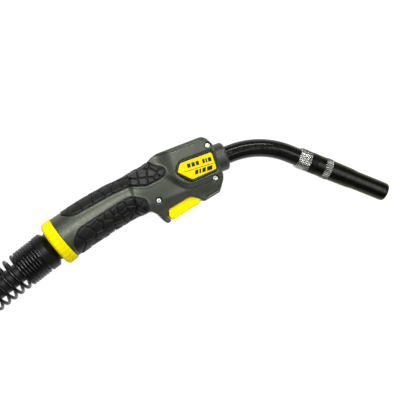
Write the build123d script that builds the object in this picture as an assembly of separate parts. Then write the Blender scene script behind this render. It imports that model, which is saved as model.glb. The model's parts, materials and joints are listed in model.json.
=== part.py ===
from build123d import *
import math
import os

os.makedirs("parts", exist_ok=True)

# MIG welding torch with a swan neck, lying on its right side with its cable coiled beside it.
# The torch frame has +X forward along the grip, +Y away from the trigger, and Z = 0 on the
# plane between the two handle shells. Every node is moved from it to the row frame on export.
SIDE_LEVEL = 24.6  # height of the middle plane over the floor, and the locking ring's radius
HOME = Location((39.3, 17.9, SIDE_LEVEL))
FAR = 400.0  # longer than anything that it cuts

# Handle shells
WALL = 2.6
SPLIT_GAP = 0.05
REAR_TILT = 8.0  # the rear socket's axis dips below the grip's axis by this many degrees
BALL_X, BALL_Y = -147.0, 35.7
GRIP_REAR_R = 23.4
GRIP_REAR_BACK = -6.9
# along X, height of the middle, half height, half width
GRIP_STATIONS = [
    (-112.0, 39.0, 22.9, 20.6),
    (-84.0, 39.8, 22.1, 19.4),
    (-58.0, 39.1, 21.2, 19.2),
    (-34.0, 38.6, 20.4, 18.0),
]
PLATFORM_HALF = 23.2
# the head seen along the neck's axis: height over that axis, half width
HEAD_SECTION = [(27.2, 17.6), (21.8, 23.2), (-14.6, 23.2), (-20.2, 18.0), (-30.0, 14.6), (-40.0, 12.6)]
# the head seen from above: distance along X, half width
HEAD_PLAN = [(50.0, 23.2), (-10.0, 23.2), (-20.0, 18.0), (-62.0, 17.0)]
HEAD_TOP = [(-52, 58.5), (-30, 60.0), (-23.5, 63.4), (-18, 64.3), (30.5, 57.2), (34.8, 53.4), (37.8, 44.5)]
HEAD_FRONT = [(32.4, 12.6), (30.4, 7.8), (25.4, 2.2), (20.8, -2.4), (2.2, -2.7), (0.4, -1.2)]
TRIGGER_EDGE = [(0.2, 1.0), (-7.0, 8.0), (-9.8, 9.2), (-33.8, 8.6), (-37.2, 5.6), (-38.6, 2.0)]
BEAK = [(-38.2, -2.4), (-41.6, -3.8), (-43.6, -0.4), (-46.4, 9.8), (-50.8, 16.2), (-59.0, 19.0)]
# place of each screw from the side, and the height that its head is seated at
SCREWS = [(32.3, 45.6, 17.6), (23.1, 12.8, 15.6), (-38.6, 21.4, 12.2)]
SCREW_HEAD_R, SCREW_HEAD_H = 2.75, 2.4
SCREW_SHANK_R = 1.5
RECESS_R = 3.6
BOSS_R = 4.8

# Soft inlays of the grip
INLAY_PROUD = 0.9
INLAY_SUNK = 1.3
UPPER_INLAY = [(-134, 66), (-131, 57.5), (-124, 52.8), (-118, 51.5), (-80, 51.3), (-58, 49.4)]
UPPER_INLAY_FRONT = [(-42, 40.2), (-24.6, 39.8), (-18.8, 43.0), (-18.2, 48.0), (-26.9, 56.5), (-31, 66)]
LOWER_INLAY = [(-133, 8), (-134.5, 25), (-131, 30), (-122, 37), (-88, 39), (-66.5, 40), (-61, 38.5)]
LOWER_INLAY_FRONT = [(-50.7, 30.3), (-50, 25), (-53, 14)]

# Nameplates
BEZEL = [(-0.2, 45.9), (32.3, 41.2), (34.4, 38.2), (30.8, 21.6), (26.9, 18.6), (0.4, 21.1), (-2.8, 23.3)]
BEZEL += [(-10.9, 37.2), (-6.5, 42.8)]
PLATE = [(-0.7, 43.9), (31.0, 38.4), (31.7, 36.3), (28.4, 21.1), (27.1, 20.4), (2.2, 23.0), (0.1, 24.2)]
PLATE += [(-8.9, 37.1), (-2.8, 43.5)]
PLATE_BED = 0.6
BEZEL_TOP = 24.3

# Trigger and switch
TRIGGER_TOE = [(0.0, 1.4), (-1.2, 4.6), (-1.2, 15.4), (-8.2, 15.4), (-9.2, 12.75)]
TRIGGER_HEEL = [(-30.0, 10.6), (-34.6, 8.4), (-37.2, 2.0), (-35.6, -2.8), (-33.2, -3.4)]
TRIGGER_SOLE = [(-12.6, -2.0), (-4.0, -2.4), (-1.2, -0.8)]
TRIGGER_WELL = [(1.6, -6), (1.6, 2.2), (-0.4, 16.4), (-35.8, 13.8), (-38.6, 5.4), (-38.6, -2.6), (-38, -6)]
TRIGGER_HALF = 11.5
WELL_HALF = 12.1
PIVOT = (-4.6, 12.0)
PIVOT_R = 1.5
PIVOT_FIT = 0.1
PIN_HALF = 13.6
SPRING_SLOT = [(-0.6, 8.6), (-0.6, 17.0), (-16.0, 17.0), (-16.0, 8.6)]
SLOT_HALF = 4.0
TORSION_R, TORSION_WIRE_R = 2.3, 0.4
TORSION_PITCH, TORSION_TURNS = 1.1, 4
SWITCH_X, SWITCH_Y = -19.6, 20.4
SWITCH_L, SWITCH_H, SWITCH_W = 18.0, 9.0, 6.4
PLUNGER_R = 1.2
PLUNGER_FIT = 0.1
PLUNGER_FROM, PLUNGER_TO = 12.0, 17.2
PLUNGER_POCKET = 19.6
TERMINAL_L, TERMINAL_Y, TERMINAL_Z = 2.4, 22.8, 1.8
CONTROL_WIRE_R = 0.8
CONTROL_WIRE = [(-31.6, 22.8), (-36.5, 28.6), (-60.0, 30.0), (-110.0, 27.0), (-134.0, 27.3)]

# Locking ring, swivelling cable support and its spring, by distance behind the ball's centre
RING_R = SIDE_LEVEL
RING_FROM, RING_TO = -6.6, 5.5
RING_LIP = 2.3
RING_FIT = 0.1
SPIGOT_R = 19.9
SPIGOT_TO = 2.0
BALL_R, SEAT_R = 18.0, 18.3
PASSAGE_R = 13.2
CUFF_R = 19.2
CUFF_NECK_R = 15.2
CUFF_FROM, CUFF_TO = 9.4, 21.0
SUPPORT_BORE_R = 10.9
SPRING_CORE_R, SPRING_CORE_TO = 16.3, 43.0
SPRING_R = 17.8
SPRING_WIRE_R = 1.2
CLOSE_PITCH, CLOSE_TURNS = 3.2, 7.0
OPEN_PITCH, OPEN_TURNS = 8.6, 8.5

# Cable: it rests on the floor, or on the coil's ties, which pass under it
CABLE_R = 10.5
TIE_T = 1.2
TIE_FIT = 0.1
COIL_LOW = CABLE_R + TIE_T - SIDE_LEVEL
COIL_HIGH = COIL_LOW + 2 * CABLE_R
COIL_X, COIL_Y = -438.3, -74.9
COIL_MID = 118.0
COIL_CORNER = 4.0
TIE_ANGLES = [120.0, 250.0]
TIE_WIDTH = 20.0
CORE_R = 8.5  # the cable's stripped core inside the handle
# the cable's run from the ball to the start of the coil's outer turn
LEAD = [
    (-137.6, 37.0, 0.0),
    (-216.3, 26.0, 0.0),
    (-276.0, 17.4, -6.5),
    (-340.2, 41.1, COIL_LOW),
    (-420.4, 52.4, COIL_LOW),
]
# its run from the coil's outer top turn, beside the lower one, down into the plug
TAIL = [
    (-438.3, -203.4, COIL_HIGH),
    (-384.0, -203.4, COIL_HIGH),
    (-312.0, -203.4, -0.6),
    (-275.0, -203.4, -0.6),
]
BEND_SHARE = 0.45  # of the shorter run beside a corner, taken up by its arc

# Swan neck, by distance in front of its socket, and nose, by distance in front of the neck's end
NECK_TILT = 9.5
SOCKET_X, SOCKET_Y = 37.4, 28.9
BEND_AT = 50.4  # from the socket to the corner where the neck's two straights would meet
NOSE_FROM_BEND = 43.0
NOSE_TILT = 51.0
NECK_BEND_R = 86.0
NECK_R = 9.5
JACKET_FROM, JACKET_TO = -30.0, 8.0
CONDUCTOR_R, CONDUCTOR_BORE = 6.0, 2.7
CONDUCTOR_FROM, CONDUCTOR_TO = -45.0, 24.0
LINER_R, LINER_BORE = 2.2, 0.9
LINER_FROM, LINER_TO = -60.0, 30.0
BLOCK_R, BLOCK_FROM = 11.0, -58.0
CRIMP_R, CRIMP_NUT_R = 7.0, 9.5
CRIMP_FROM, CRIMP_TO = -72.0, -46.0
COLLAR_R, COLLAR_FOOT_R = 15.0, 13.0
COLLAR_L, COLLAR_SEAT, COLLAR_FOOT = 9.6, -2.2, 8.0
SLEEVE_R, SLEEVE_TO = 11.35, 14.0
INSULATOR_R, INSULATOR_FLANGE_R = 9.2, 11.0
INSULATOR_FROM, INSULATOR_TO = 8.2, 38.0
FLANGE_FROM, FLANGE_TO = 14.2, 21.0
CLIP_FROM, CLIP_TO = 30.5, 31.5
CLIP_R, CLIP_GROOVE_R = 9.6, 8.6
NOZZLE_FROM, NOZZLE_TO = 21.3, 105.0
NOZZLE_R, NOZZLE_TIP_R = 11.0, 9.9
NOZZLE_BORE, NOZZLE_TIP_BORE = 9.7, 8.2
BAND_R, BAND_FROM, BAND_TO = 11.35, 30.5, 37.4
TAPER_FROM, TAPER_TO = 61.5, 68.0
ADAPTOR_TO = 48.0
TIP_R, TIP_TO = 4.0, 97.0
WIRE_BORE = 0.6
DIFFUSER_R, DIFFUSER_TO = 8.0, 56.0
DIFFUSER_HOLES = 6

# Plug, by distance in front of its boot's rear end
PLUG_TURN = 0.0  # direction of its axis, in degrees from +X
BOOT_BORE = 26.0
BOOT_R, BOOT_FRONT_R, BOOT_TO = 13.5, 15.0, 46.0
PLUG_R, PLUG_SHELL_FROM, PLUG_SHELL_TO = 21.0, 42.0, 108.0
PLUG_BODY_R, PLUG_BODY_FROM, PLUG_BODY_TO = 18.0, 96.0, 134.0
FLANGE_R, PLUG_FLANGE_FROM, PLUG_FLANGE_TO = 19.0, 112.2, 115.0
NUT_R, NUT_FROM, NUT_LIP, NUT_TO = 24.0, 108.4, 111.9, 142.0
NUT_BORE, NUT_FIT = 20.5, 0.1
PIN_R, PIN_BORE, PIN_FROM, PIN_TO = 5.95, 2.5, 60.0, 152.0
SEAL_AT, SEAL_R = 137.0, 0.9
COLLET_FROM, COLLET_TO = 140.0, 158.0
CONTACT_R, CONTACT_FIT, CONTACT_SPREAD = 1.9, 0.1, 11.5
CONTACT_FROM, CONTACT_TO, CONTACT_POCKET = 118.0, 140.0, 112.0
PLUG_SCREWS = [(62.0, 12.5), (88.0, -12.5)]
PLUG_SCREW_SEAT = 11.5


def heading(degrees):
    """A unit vector in the XY plane."""
    return (math.cos(math.radians(degrees)), math.sin(math.radians(degrees)), 0)


def along(plane, distance):
    """The point on a plane's normal at a distance from its origin."""
    return plane.origin + plane.z_dir * distance


UP = (0, 0, 1)
REAR = Plane(origin=(BALL_X, BALL_Y, 0), x_dir=UP, z_dir=heading(180 + REAR_TILT))
NECK = Plane(origin=(SOCKET_X, SOCKET_Y, 0), x_dir=UP, z_dir=heading(-NECK_TILT))
BEND = along(NECK, BEND_AT)
BEND_OUT = Plane(origin=BEND, x_dir=UP, z_dir=heading(-NOSE_TILT))
NOSE = Plane(origin=along(BEND_OUT, NOSE_FROM_BEND), x_dir=UP, z_dir=heading(-NOSE_TILT))
PLUG_END = Plane(origin=TAIL[-1], x_dir=UP, z_dir=heading(PLUG_TURN))
PLUG = Plane(origin=along(PLUG_END, -BOOT_BORE), x_dir=UP, z_dir=heading(PLUG_TURN))


def slab(points, low, high):
    """An outline in XY between two heights."""
    face = make_face(Polyline(*points, close=True))
    return Pos(0, 0, low) * extrude(face, high - low)


def prism(points, half):
    """An outline in XY, as thick on both sides of the middle plane."""
    return slab(points, -half, half)


def turned(plane, outline):
    """A solid of revolution about a plane's normal, from (radius, distance) corners."""
    corners = [(radius, 0, distance) for radius, distance in outline]
    return plane.location * revolve(make_face(Polyline(*corners, close=True)), Axis.Z)


def rod(plane, radius, low, high):
    """A cylinder along a plane's normal."""
    return plane.location * Pos(0, 0, (low + high) / 2) * Cylinder(radius, high - low)


def tube(plane, outer, inner, low, high):
    """A cylinder with a bore along a plane's normal."""
    return rod(plane, outer, low, high) - rod(plane, inner, low, high)


def across(point, radius, low, high):
    """A cylinder across the handle, along Z."""
    x, y = point
    return Pos(x, y, (low + high) / 2) * Cylinder(radius, high - low)


def mirrored(shape):
    return mirror(shape, about=Plane.XY)


def halves(shape):
    """What lies to the left and to the right of the middle plane."""
    left = Pos(0, 0, (FAR + SPLIT_GAP) / 2) * Box(2 * FAR, FAR, FAR)
    return shape & left, shape & mirrored(left)


def swept(points, radii, section):
    """A section carried along straight runs joined by tangent arcs."""
    path = FilletPolyline(*points, radius=radii)
    return sweep(Plane(origin=path @ 0, z_dir=path % 0) * section, path=path)


def ring(outer, inner):
    return Circle(outer) - Circle(inner)


# Handle


def grip_form(inset):
    """The grip's rounded bar, drawn in by an inset."""
    sections = [REAR.location * Pos(0, 0, GRIP_REAR_BACK) * Circle(GRIP_REAR_R - inset)]
    for x, middle, half_height, half_width in GRIP_STATIONS:
        plane = Plane(origin=(x, middle, 0), x_dir=(0, 1, 0), z_dir=(1, 0, 0))
        sections.append(plane * Ellipse(half_height - inset, half_width - inset))
    return loft(sections)


def inset_face(points, inset):
    face = make_face(Polyline(*points, close=True))
    return offset(face, amount=-inset, kind=Kind.INTERSECTION) if inset else face


def both_sides(points):
    """Closes an outline of (distance, half width) corners over its mirror image."""
    return points + [(distance, -half) for distance, half in reversed(points)]


def head_form(inset):
    """The head's block: its side view, its section and its plan cut from one another."""
    side = inset_face(HEAD_TOP + HEAD_FRONT + TRIGGER_EDGE + BEAK, inset)
    section = Rot(0, 0, -90) * inset_face(both_sides(HEAD_SECTION), inset)
    plan = Rot(90, 0, 0) * inset_face(both_sides(HEAD_PLAN), inset)
    block = extrude(side, FAR, both=True) & extrude(plan, FAR, both=True)
    return block & NECK.location * extrude(section, FAR, both=True)


def handle_form(inset):
    return grip_form(inset) + head_form(inset)


def inlay_skin():
    """The layer that the soft inlays fill, from under the handle's surface to over it."""
    area = prism(UPPER_INLAY + UPPER_INLAY_FRONT, FAR) + prism(LOWER_INLAY + LOWER_INLAY_FRONT, FAR)
    return (handle_form(-INLAY_PROUD) - handle_form(INLAY_SUNK)) & area


def inlays(side):
    """The lower and the upper inlay of one handle shell."""
    lower, upper = side.solids().sort_by(Axis.Y)
    return lower, upper


def rear_seat():
    """The block behind the hollow that holds the front of the ball."""
    return rod(REAR, GRIP_REAR_R + 2, -21.0, RING_FROM)


def handle_shells(skin):
    """The left and right handle shells, with the ball's seat and a boss around each screw."""
    bosses = Part() + [across((x, y), BOSS_R, -FAR, FAR) for x, y, seat in SCREWS]
    hollow = handle_form(WALL) - rear_seat() - bosses
    shell = handle_form(0) - hollow + rod(REAR, SPIGOT_R, GRIP_REAR_BACK - 1, SPIGOT_TO)
    shell -= REAR.location * Sphere(SEAT_R)
    shell -= rod(REAR, PASSAGE_R, -30.0, 0.0)
    shell -= prism(TRIGGER_WELL, WELL_HALF)
    shell -= rod(NECK, COLLAR_FOOT_R, -COLLAR_FOOT, COLLAR_FOOT)
    shell -= swan(CONDUCTOR_FROM, 0.0, Circle(NECK_R))
    shell -= across(PIVOT, PIVOT_R, -PIN_HALF, PIN_HALF)
    shell -= skin
    pocket = slab(BEZEL, PLATFORM_HALF - PLATE_BED, FAR)
    shell -= pocket + mirrored(pocket)
    for x, y, seat in SCREWS:
        shell -= across((x, y), RECESS_R, seat, FAR)
        shell -= across((x, y), RECESS_R, -FAR, -seat)
        shell -= across((x, y), SCREW_SHANK_R, -seat, seat)
    return halves(shell)


def shell_screws():
    """The cross-head screws that pull the two shells together."""
    screws = Part()
    for x, y, seat in SCREWS:
        top = seat + SCREW_HEAD_H
        head = across((x, y), SCREW_HEAD_R, seat, top)
        head -= Pos(x, y, top) * (Box(0.8, 3.2, 2.4) + Box(3.2, 0.8, 2.4))
        screws += head + across((x, y), SCREW_SHANK_R, -seat, seat)
    return screws


def bezel():
    """The frame around the left nameplate."""
    frame = slab(BEZEL, PLATFORM_HALF - PLATE_BED, BEZEL_TOP)
    return frame - slab(PLATE, PLATFORM_HALF, FAR)


def nameplate():
    return slab(PLATE, PLATFORM_HALF, SIDE_LEVEL)


# Trigger and switch


def trigger():
    """The lever, with its bore for the pivot pin and a slot for the return spring."""
    lever = prism(TRIGGER_TOE + TRIGGER_HEEL + TRIGGER_SOLE, TRIGGER_HALF)
    lever -= prism(SPRING_SLOT, SLOT_HALF)
    return lever - across(PIVOT, PIVOT_R + PIVOT_FIT, -FAR, FAR)


def trigger_pin():
    return across(PIVOT, PIVOT_R, -PIN_HALF, PIN_HALF)


def trigger_spring():
    """The torsion spring round the pivot pin, with one leg up and one leg back."""
    x, y = PIVOT
    height = TORSION_PITCH * TORSION_TURNS
    coil = Helix(TORSION_PITCH, height, TORSION_R)
    wire = sweep(Plane(origin=coil @ 0, z_dir=coil % 0) * Circle(TORSION_WIRE_R), coil, is_frenet=True)
    spring = Pos(x, y, -height / 2) * wire
    upward = Plane(origin=(x + TORSION_R, y, -height / 2), z_dir=(0, 1, 0))
    backward = Plane(origin=(x + TORSION_R, y - 0.2, height / 2), z_dir=(0, 1, 0))
    spring += rod(upward, TORSION_WIRE_R, 0.0, 7.0)
    return spring + rod(backward, TORSION_WIRE_R, 0.0, 5.0)


def switch_body():
    """The microswitch's case, with the pocket that its plunger slides in."""
    case = Pos(SWITCH_X, SWITCH_Y, 0) * Box(SWITCH_L, SWITCH_H, SWITCH_W)
    case = chamfer(case.edges().filter_by(Axis.Y), 0.8)
    return case - plunger_rod(PLUNGER_R + PLUNGER_FIT, PLUNGER_FROM, PLUNGER_POCKET)


def plunger_rod(radius, low, high):
    return Pos(SWITCH_X, (low + high) / 2, 0) * Rot(90, 0, 0) * Cylinder(radius, high - low)


def switch_plunger():
    return plunger_rod(PLUNGER_R, PLUNGER_FROM, PLUNGER_TO)


def switch_terminals():
    """The two tabs at the back of the switch."""
    back = SWITCH_X - (SWITCH_L + TERMINAL_L) / 2
    tab = Pos(back, TERMINAL_Y, TERMINAL_Z) * Box(TERMINAL_L, 3.0, 0.6)
    return tab + mirrored(tab)


def control_wires():
    """The pair of wires from the switch back to the cable."""
    points = [(x, y, TERMINAL_Z) for x, y in CONTROL_WIRE]
    wire = swept(points, bend_radii(points), Circle(CONTROL_WIRE_R))
    return wire + mirrored(wire)


# Swan neck and nose


def swan(low, high, section):
    """A section carried along the neck's axis, from behind its socket to its nose."""
    return swept((along(NECK, low), BEND, along(NOSE, high)), NECK_BEND_R, section)


def neck_collar():
    """The collar that the neck leaves the handle through."""
    outline = [(NECK_R, -COLLAR_FOOT), (COLLAR_FOOT_R, -COLLAR_FOOT), (COLLAR_FOOT_R, COLLAR_SEAT)]
    outline += [(COLLAR_R, COLLAR_SEAT), (COLLAR_R, COLLAR_L - 3.0), (COLLAR_R - 2.6, COLLAR_L)]
    outline += [(NECK_R, COLLAR_L)]
    return turned(NECK, outline)


def neck_block():
    """The brass block that joins the neck's conductor to the cable's crimp."""
    block = rod(NECK, BLOCK_R, BLOCK_FROM, JACKET_FROM - 1)
    block -= rod(NECK, CONDUCTOR_R, CRIMP_TO, JACKET_FROM)
    return block - rod(NECK, CRIMP_R, BLOCK_FROM, CRIMP_TO)


def cable_crimp():
    """The threaded fitting on the cable's core, with its hexagon."""
    fitting = rod(NECK, CRIMP_R, CRIMP_FROM, CRIMP_TO)
    hexagon = extrude(RegularPolygon(CRIMP_NUT_R, 6), 6.0)
    fitting += NECK.location * Pos(0, 0, BLOCK_FROM - 8.0) * hexagon
    return fitting - rod(NECK, LINER_R, LINER_FROM, CRIMP_TO)


def cable_core():
    """The cable's stripped core, from the crimp to the ball."""
    front, rear = along(NECK, CRIMP_FROM - 0.2), along(REAR, -12.0)
    corner = (-68.8, 46.7, 0)
    return swept((front, corner, rear), 105.0, Circle(CORE_R))


def neck_sleeve():
    """The knurled sleeve over the neck's end."""
    outline = [(NECK_R, 0), (SLEEVE_R - 0.6, 0), (SLEEVE_R, 0.6), (SLEEVE_R, SLEEVE_TO - 0.6)]
    return turned(NOSE, outline + [(SLEEVE_R - 0.6, SLEEVE_TO), (NECK_R, SLEEVE_TO)])


def nozzle_insulator():
    """The insulating bush that the gas nozzle slides on, with a groove for its clip."""
    rear = [(CONDUCTOR_R, INSULATOR_FROM), (INSULATOR_R, INSULATOR_FROM), (INSULATOR_R, FLANGE_FROM)]
    flange = [(INSULATOR_FLANGE_R, FLANGE_FROM), (INSULATOR_FLANGE_R, FLANGE_TO)]
    groove = [(INSULATOR_R, CLIP_FROM), (CLIP_GROOVE_R, CLIP_FROM), (CLIP_GROOVE_R, CLIP_TO)]
    front = [(INSULATOR_R, CLIP_TO), (INSULATOR_R, INSULATOR_TO), (CONDUCTOR_R, INSULATOR_TO)]
    return turned(NOSE, rear + flange + [(INSULATOR_R, FLANGE_TO)] + groove + front)


def nozzle_clip():
    """The open spring ring that grips the gas nozzle."""
    clip = tube(NOSE, CLIP_R, CLIP_GROOVE_R, CLIP_FROM, CLIP_TO)
    return clip - NOSE.location * Pos(CLIP_R, 0, CLIP_FROM) * Box(4, 5, 4)


def tip_adaptor():
    """The threaded brass holder of the contact tip."""
    rear = [(LINER_R, 24.2), (CONDUCTOR_R, 24.2), (CONDUCTOR_R, 38.2), (7.6, 38.2), (7.6, 44.0)]
    return turned(NOSE, rear + [(CONDUCTOR_R, 44.0), (CONDUCTOR_R, ADAPTOR_TO), (LINER_R, ADAPTOR_TO)])


def gas_diffuser():
    """The ring that lets the shielding gas out around the contact tip."""
    outline = [(6.1, 44.2), (DIFFUSER_R, 44.2), (DIFFUSER_R, DIFFUSER_TO), (4.2, DIFFUSER_TO), (4.2, 48.5)]
    ring_body = turned(NOSE, outline + [(6.1, 48.5)])
    for step in range(DIFFUSER_HOLES):
        turn = Rot(0, 0, 360 / DIFFUSER_HOLES * step) * Pos(6.0, 0, 52.4) * Rot(0, 90, 0)
        ring_body -= NOSE.location * turn * Cylinder(1.0, 5.0)
    return ring_body


def contact_tip():
    """The copper tip that the welding wire runs through."""
    front = [(TIP_R, TIP_TO - 5.0), (TIP_R - 1.2, TIP_TO), (WIRE_BORE, TIP_TO)]
    return turned(NOSE, [(WIRE_BORE, ADAPTOR_TO + 0.2), (TIP_R, ADAPTOR_TO + 0.2)] + front)


def gas_nozzle():
    """The nozzle: a grip band near its rear end and a step down to its mouth."""
    rear = [(NOZZLE_BORE, NOZZLE_FROM), (NOZZLE_R, NOZZLE_FROM), (NOZZLE_R, BAND_FROM)]
    band = [(BAND_R, BAND_FROM + 0.3), (BAND_R, BAND_TO - 0.3), (NOZZLE_R - 0.1, BAND_TO)]
    step = [(NOZZLE_R - 0.4, TAPER_FROM), (NOZZLE_TIP_R, TAPER_TO), (NOZZLE_TIP_R, NOZZLE_TO - 2.5)]
    mouth = [(NOZZLE_TIP_R - 1.0, NOZZLE_TO), (NOZZLE_TIP_BORE, NOZZLE_TO)]
    bore = [(NOZZLE_TIP_BORE, TAPER_TO + 2), (NOZZLE_BORE, TAPER_FROM)]
    return turned(NOSE, rear + band + step + mouth + bore)


# Rear end


def locking_ring():
    """The ring that holds the shells' rear ends together and the ball in its seat."""
    bore = SPIGOT_R + RING_FIT
    outline = [(bore, RING_FROM), (RING_R - 0.9, RING_FROM), (RING_R, RING_FROM + 1.0)]
    outline += [(RING_R, RING_TO - 2.0), (RING_R - 2.2, RING_TO), (CUFF_NECK_R, RING_TO)]
    outline += [(CUFF_NECK_R, RING_LIP), (bore, RING_LIP)]
    return turned(REAR, outline) - REAR.location * Sphere(SEAT_R)


def support_cuff():
    """The cable support: its ball, its cuff and the core that its spring grips."""
    ball = REAR.location * Sphere(BALL_R) & rod(REAR, BALL_R, -6.0, CUFF_FROM)
    cuff = [(SUPPORT_BORE_R, 0), (CUFF_NECK_R, 0), (CUFF_NECK_R, CUFF_FROM), (CUFF_R, CUFF_FROM + 3.0)]
    cuff += [(CUFF_R, CUFF_TO), (SPRING_CORE_R, CUFF_TO), (SPRING_CORE_R, SPRING_CORE_TO)]
    cuff += [(SUPPORT_BORE_R, SPRING_CORE_TO)]
    return ball + turned(REAR, cuff) - rod(REAR, SUPPORT_BORE_R, -10.0, SPRING_CORE_TO)


def support_spring():
    """The cable's bend spring: wound close over the cuff's core, then open."""
    close = Helix(CLOSE_PITCH, CLOSE_PITCH * CLOSE_TURNS, SPRING_R)
    opened = Helix(OPEN_PITCH, OPEN_PITCH * OPEN_TURNS, SPRING_R)
    opened = Pos(0, 0, CLOSE_PITCH * CLOSE_TURNS) * opened
    path = Wire([close.edge(), opened.edge()])
    section = Plane(origin=path @ 0, z_dir=path % 0) * Circle(SPRING_WIRE_R)
    start = Pos(0, 0, CUFF_TO + SPRING_WIRE_R + 0.2)
    return REAR.location * start * sweep(section, path=path, is_frenet=True)


# Cable


def bend_radii(points):
    """The arc at each corner of a route, as large as its two runs allow."""
    places = [Vector(*point) for point in points]
    radii = []
    for before, corner, after in zip(places, places[1:], places[2:]):
        runs = (corner - before, after - corner)
        turn = math.radians(runs[0].get_angle(runs[1]))
        radii.append(BEND_SHARE * min(run.length for run in runs) / math.tan(turn / 2))
    return radii


def cable_run(name, points):
    """A stretch of cable, with its bends and its volume printed beside what they should be."""
    radii = bend_radii(points)
    run = swept(points, radii, Circle(CABLE_R))
    length = FilletPolyline(*points, radius=radii).length
    print(name, "radii", [round(radius) for radius in radii], "length", round(length, 1))
    print(name, "volume", round(run.volume), "expected", round(math.pi * CABLE_R**2 * length))
    return run


def outside(coil, run):
    """The stretch of a cable run that lies outside the coil."""
    return (run - coil).solids().sort_by(SortBy.VOLUME)[-1]


def coil_section(grow):
    """Half width, bottom and top of the coil's section, grown by a strap's thickness."""
    return 2 * CABLE_R + grow, COIL_LOW - CABLE_R - grow, COIL_HIGH + CABLE_R + grow


def cable_coil():
    """The outer shape of the coil: two turns side by side and two on top of them."""
    half, bottom, top = coil_section(0)
    inside, outer = COIL_MID - half, COIL_MID + half
    outline = [(inside, bottom + COIL_CORNER), (inside + COIL_CORNER, bottom)]
    outline += [(outer - COIL_CORNER, bottom), (outer, bottom + COIL_CORNER)]
    outline += [(outer, top - COIL_CORNER), (outer - COIL_CORNER, top)]
    outline += [(inside + COIL_CORNER, top), (inside, top - COIL_CORNER)]
    return turned(Plane(origin=(COIL_X, COIL_Y, 0)), outline)


def tie_face(grow):
    """A strap's outline across the coil."""
    half, bottom, top = coil_section(grow)
    return Pos(COIL_MID, (bottom + top) / 2) * Rectangle(2 * half, top - bottom)


def coil_ties(coil):
    """The straps round the coil."""
    ties = Part()
    for angle in TIE_ANGLES:
        place = Plane(origin=(COIL_X, COIL_Y, 0), x_dir=heading(angle), z_dir=heading(angle - 90))
        strap = extrude(tie_face(TIE_T) - tie_face(TIE_FIT), TIE_WIDTH / 2, both=True)
        ties += place.location * strap
    return ties - coil


# Plug


def plug_boot():
    """The tapered strain relief, which holds the end of the cable."""
    outline = [(0, BOOT_BORE), (CABLE_R, BOOT_BORE), (CABLE_R, 0), (BOOT_R - 1, 0), (BOOT_R, 1)]
    outline += [(BOOT_FRONT_R, PLUG_SHELL_FROM - 4), (BOOT_FRONT_R, BOOT_TO), (0, BOOT_TO)]
    return turned(PLUG, outline)


def upright(distance, aside, radius, low, high):
    """A vertical cylinder beside the plug's axis."""
    return PLUG.location * Pos(0, aside, distance) * Rot(0, 90, 0) * Pos(0, 0, (low + high) / 2) * Cylinder(
        radius, high - low
    )


def plug_shells():
    """The upper and lower half of the plug's case."""
    outline = [(BOOT_FRONT_R, PLUG_SHELL_FROM), (17.5, PLUG_SHELL_FROM), (PLUG_R, 54), (PLUG_R, PLUG_SHELL_TO)]
    outline += [(PLUG_BODY_R, PLUG_SHELL_TO), (PLUG_BODY_R, 50), (BOOT_FRONT_R, BOOT_TO)]
    case = turned(PLUG, outline)
    solid = rod(PLUG, PLUG_R, 54, PLUG_BODY_FROM)
    for distance, aside in PLUG_SCREWS:
        case += upright(distance, aside, 3.4, -PLUG_R, PLUG_R) & solid
        case -= upright(distance, aside, 2.8, PLUG_SCREW_SEAT, PLUG_R)
        case -= upright(distance, aside, 1.4, -PLUG_SCREW_SEAT, PLUG_SCREW_SEAT)
    upper = PLUG.location * Pos(FAR / 2 + SPLIT_GAP / 2, 0, 0) * Box(FAR, FAR, FAR)
    lower = PLUG.location * Pos(-FAR / 2 - SPLIT_GAP / 2, 0, 0) * Box(FAR, FAR, FAR)
    return case & upper, case & lower


def plug_screws():
    screws = Part()
    for distance, aside in PLUG_SCREWS:
        screws += upright(distance, aside, 2.6, PLUG_SCREW_SEAT, PLUG_SCREW_SEAT + 2)
        screws += upright(distance, aside, 1.4, -PLUG_SCREW_SEAT, PLUG_SCREW_SEAT)
    return screws


def plug_body():
    """The insulating core of the plug, which holds the spigot and the signal pins."""
    outline = [(PIN_R, PLUG_BODY_FROM), (PLUG_BODY_R, PLUG_BODY_FROM), (PLUG_BODY_R, PLUG_FLANGE_FROM)]
    outline += [(FLANGE_R, PLUG_FLANGE_FROM), (FLANGE_R, PLUG_FLANGE_TO), (PLUG_BODY_R, PLUG_FLANGE_TO)]
    outline += [(PLUG_BODY_R, PLUG_BODY_TO - 1), (PLUG_BODY_R - 1, PLUG_BODY_TO), (PIN_R, PLUG_BODY_TO)]
    body = turned(PLUG, outline)
    for side in (-1, 1):
        body -= contact_rod(side, CONTACT_R + CONTACT_FIT, CONTACT_POCKET, PLUG_BODY_TO)
    return body


def contact_rod(side, radius, low, high):
    beside = Pos(0, side * CONTACT_SPREAD, (low + high) / 2)
    return PLUG.location * beside * Cylinder(radius, high - low)


def contact_pin(side):
    """A sprung signal pin with a rounded end."""
    pin = contact_rod(side, CONTACT_R, CONTACT_FROM, CONTACT_TO)
    return fillet(pin.edges().sort_by(Axis(PLUG.origin, PLUG.z_dir))[-1], 1.0)


def plug_nut():
    """The nut that turns on the plug's body and screws it to the machine."""
    lip = PLUG_BODY_R + NUT_FIT
    outline = [(lip, NUT_FROM), (NUT_R - 1.5, NUT_FROM), (NUT_R, NUT_FROM + 1.5), (NUT_R, NUT_TO - 1.5)]
    outline += [(NUT_R - 1.5, NUT_TO), (NUT_BORE, NUT_TO), (NUT_BORE, NUT_LIP), (lip, NUT_LIP)]
    return turned(PLUG, outline)


def seal():
    """The round sealing ring near the spigot's root."""
    return PLUG.location * Pos(0, 0, SEAL_AT) * Torus(PIN_R - 0.3, SEAL_R)


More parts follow.
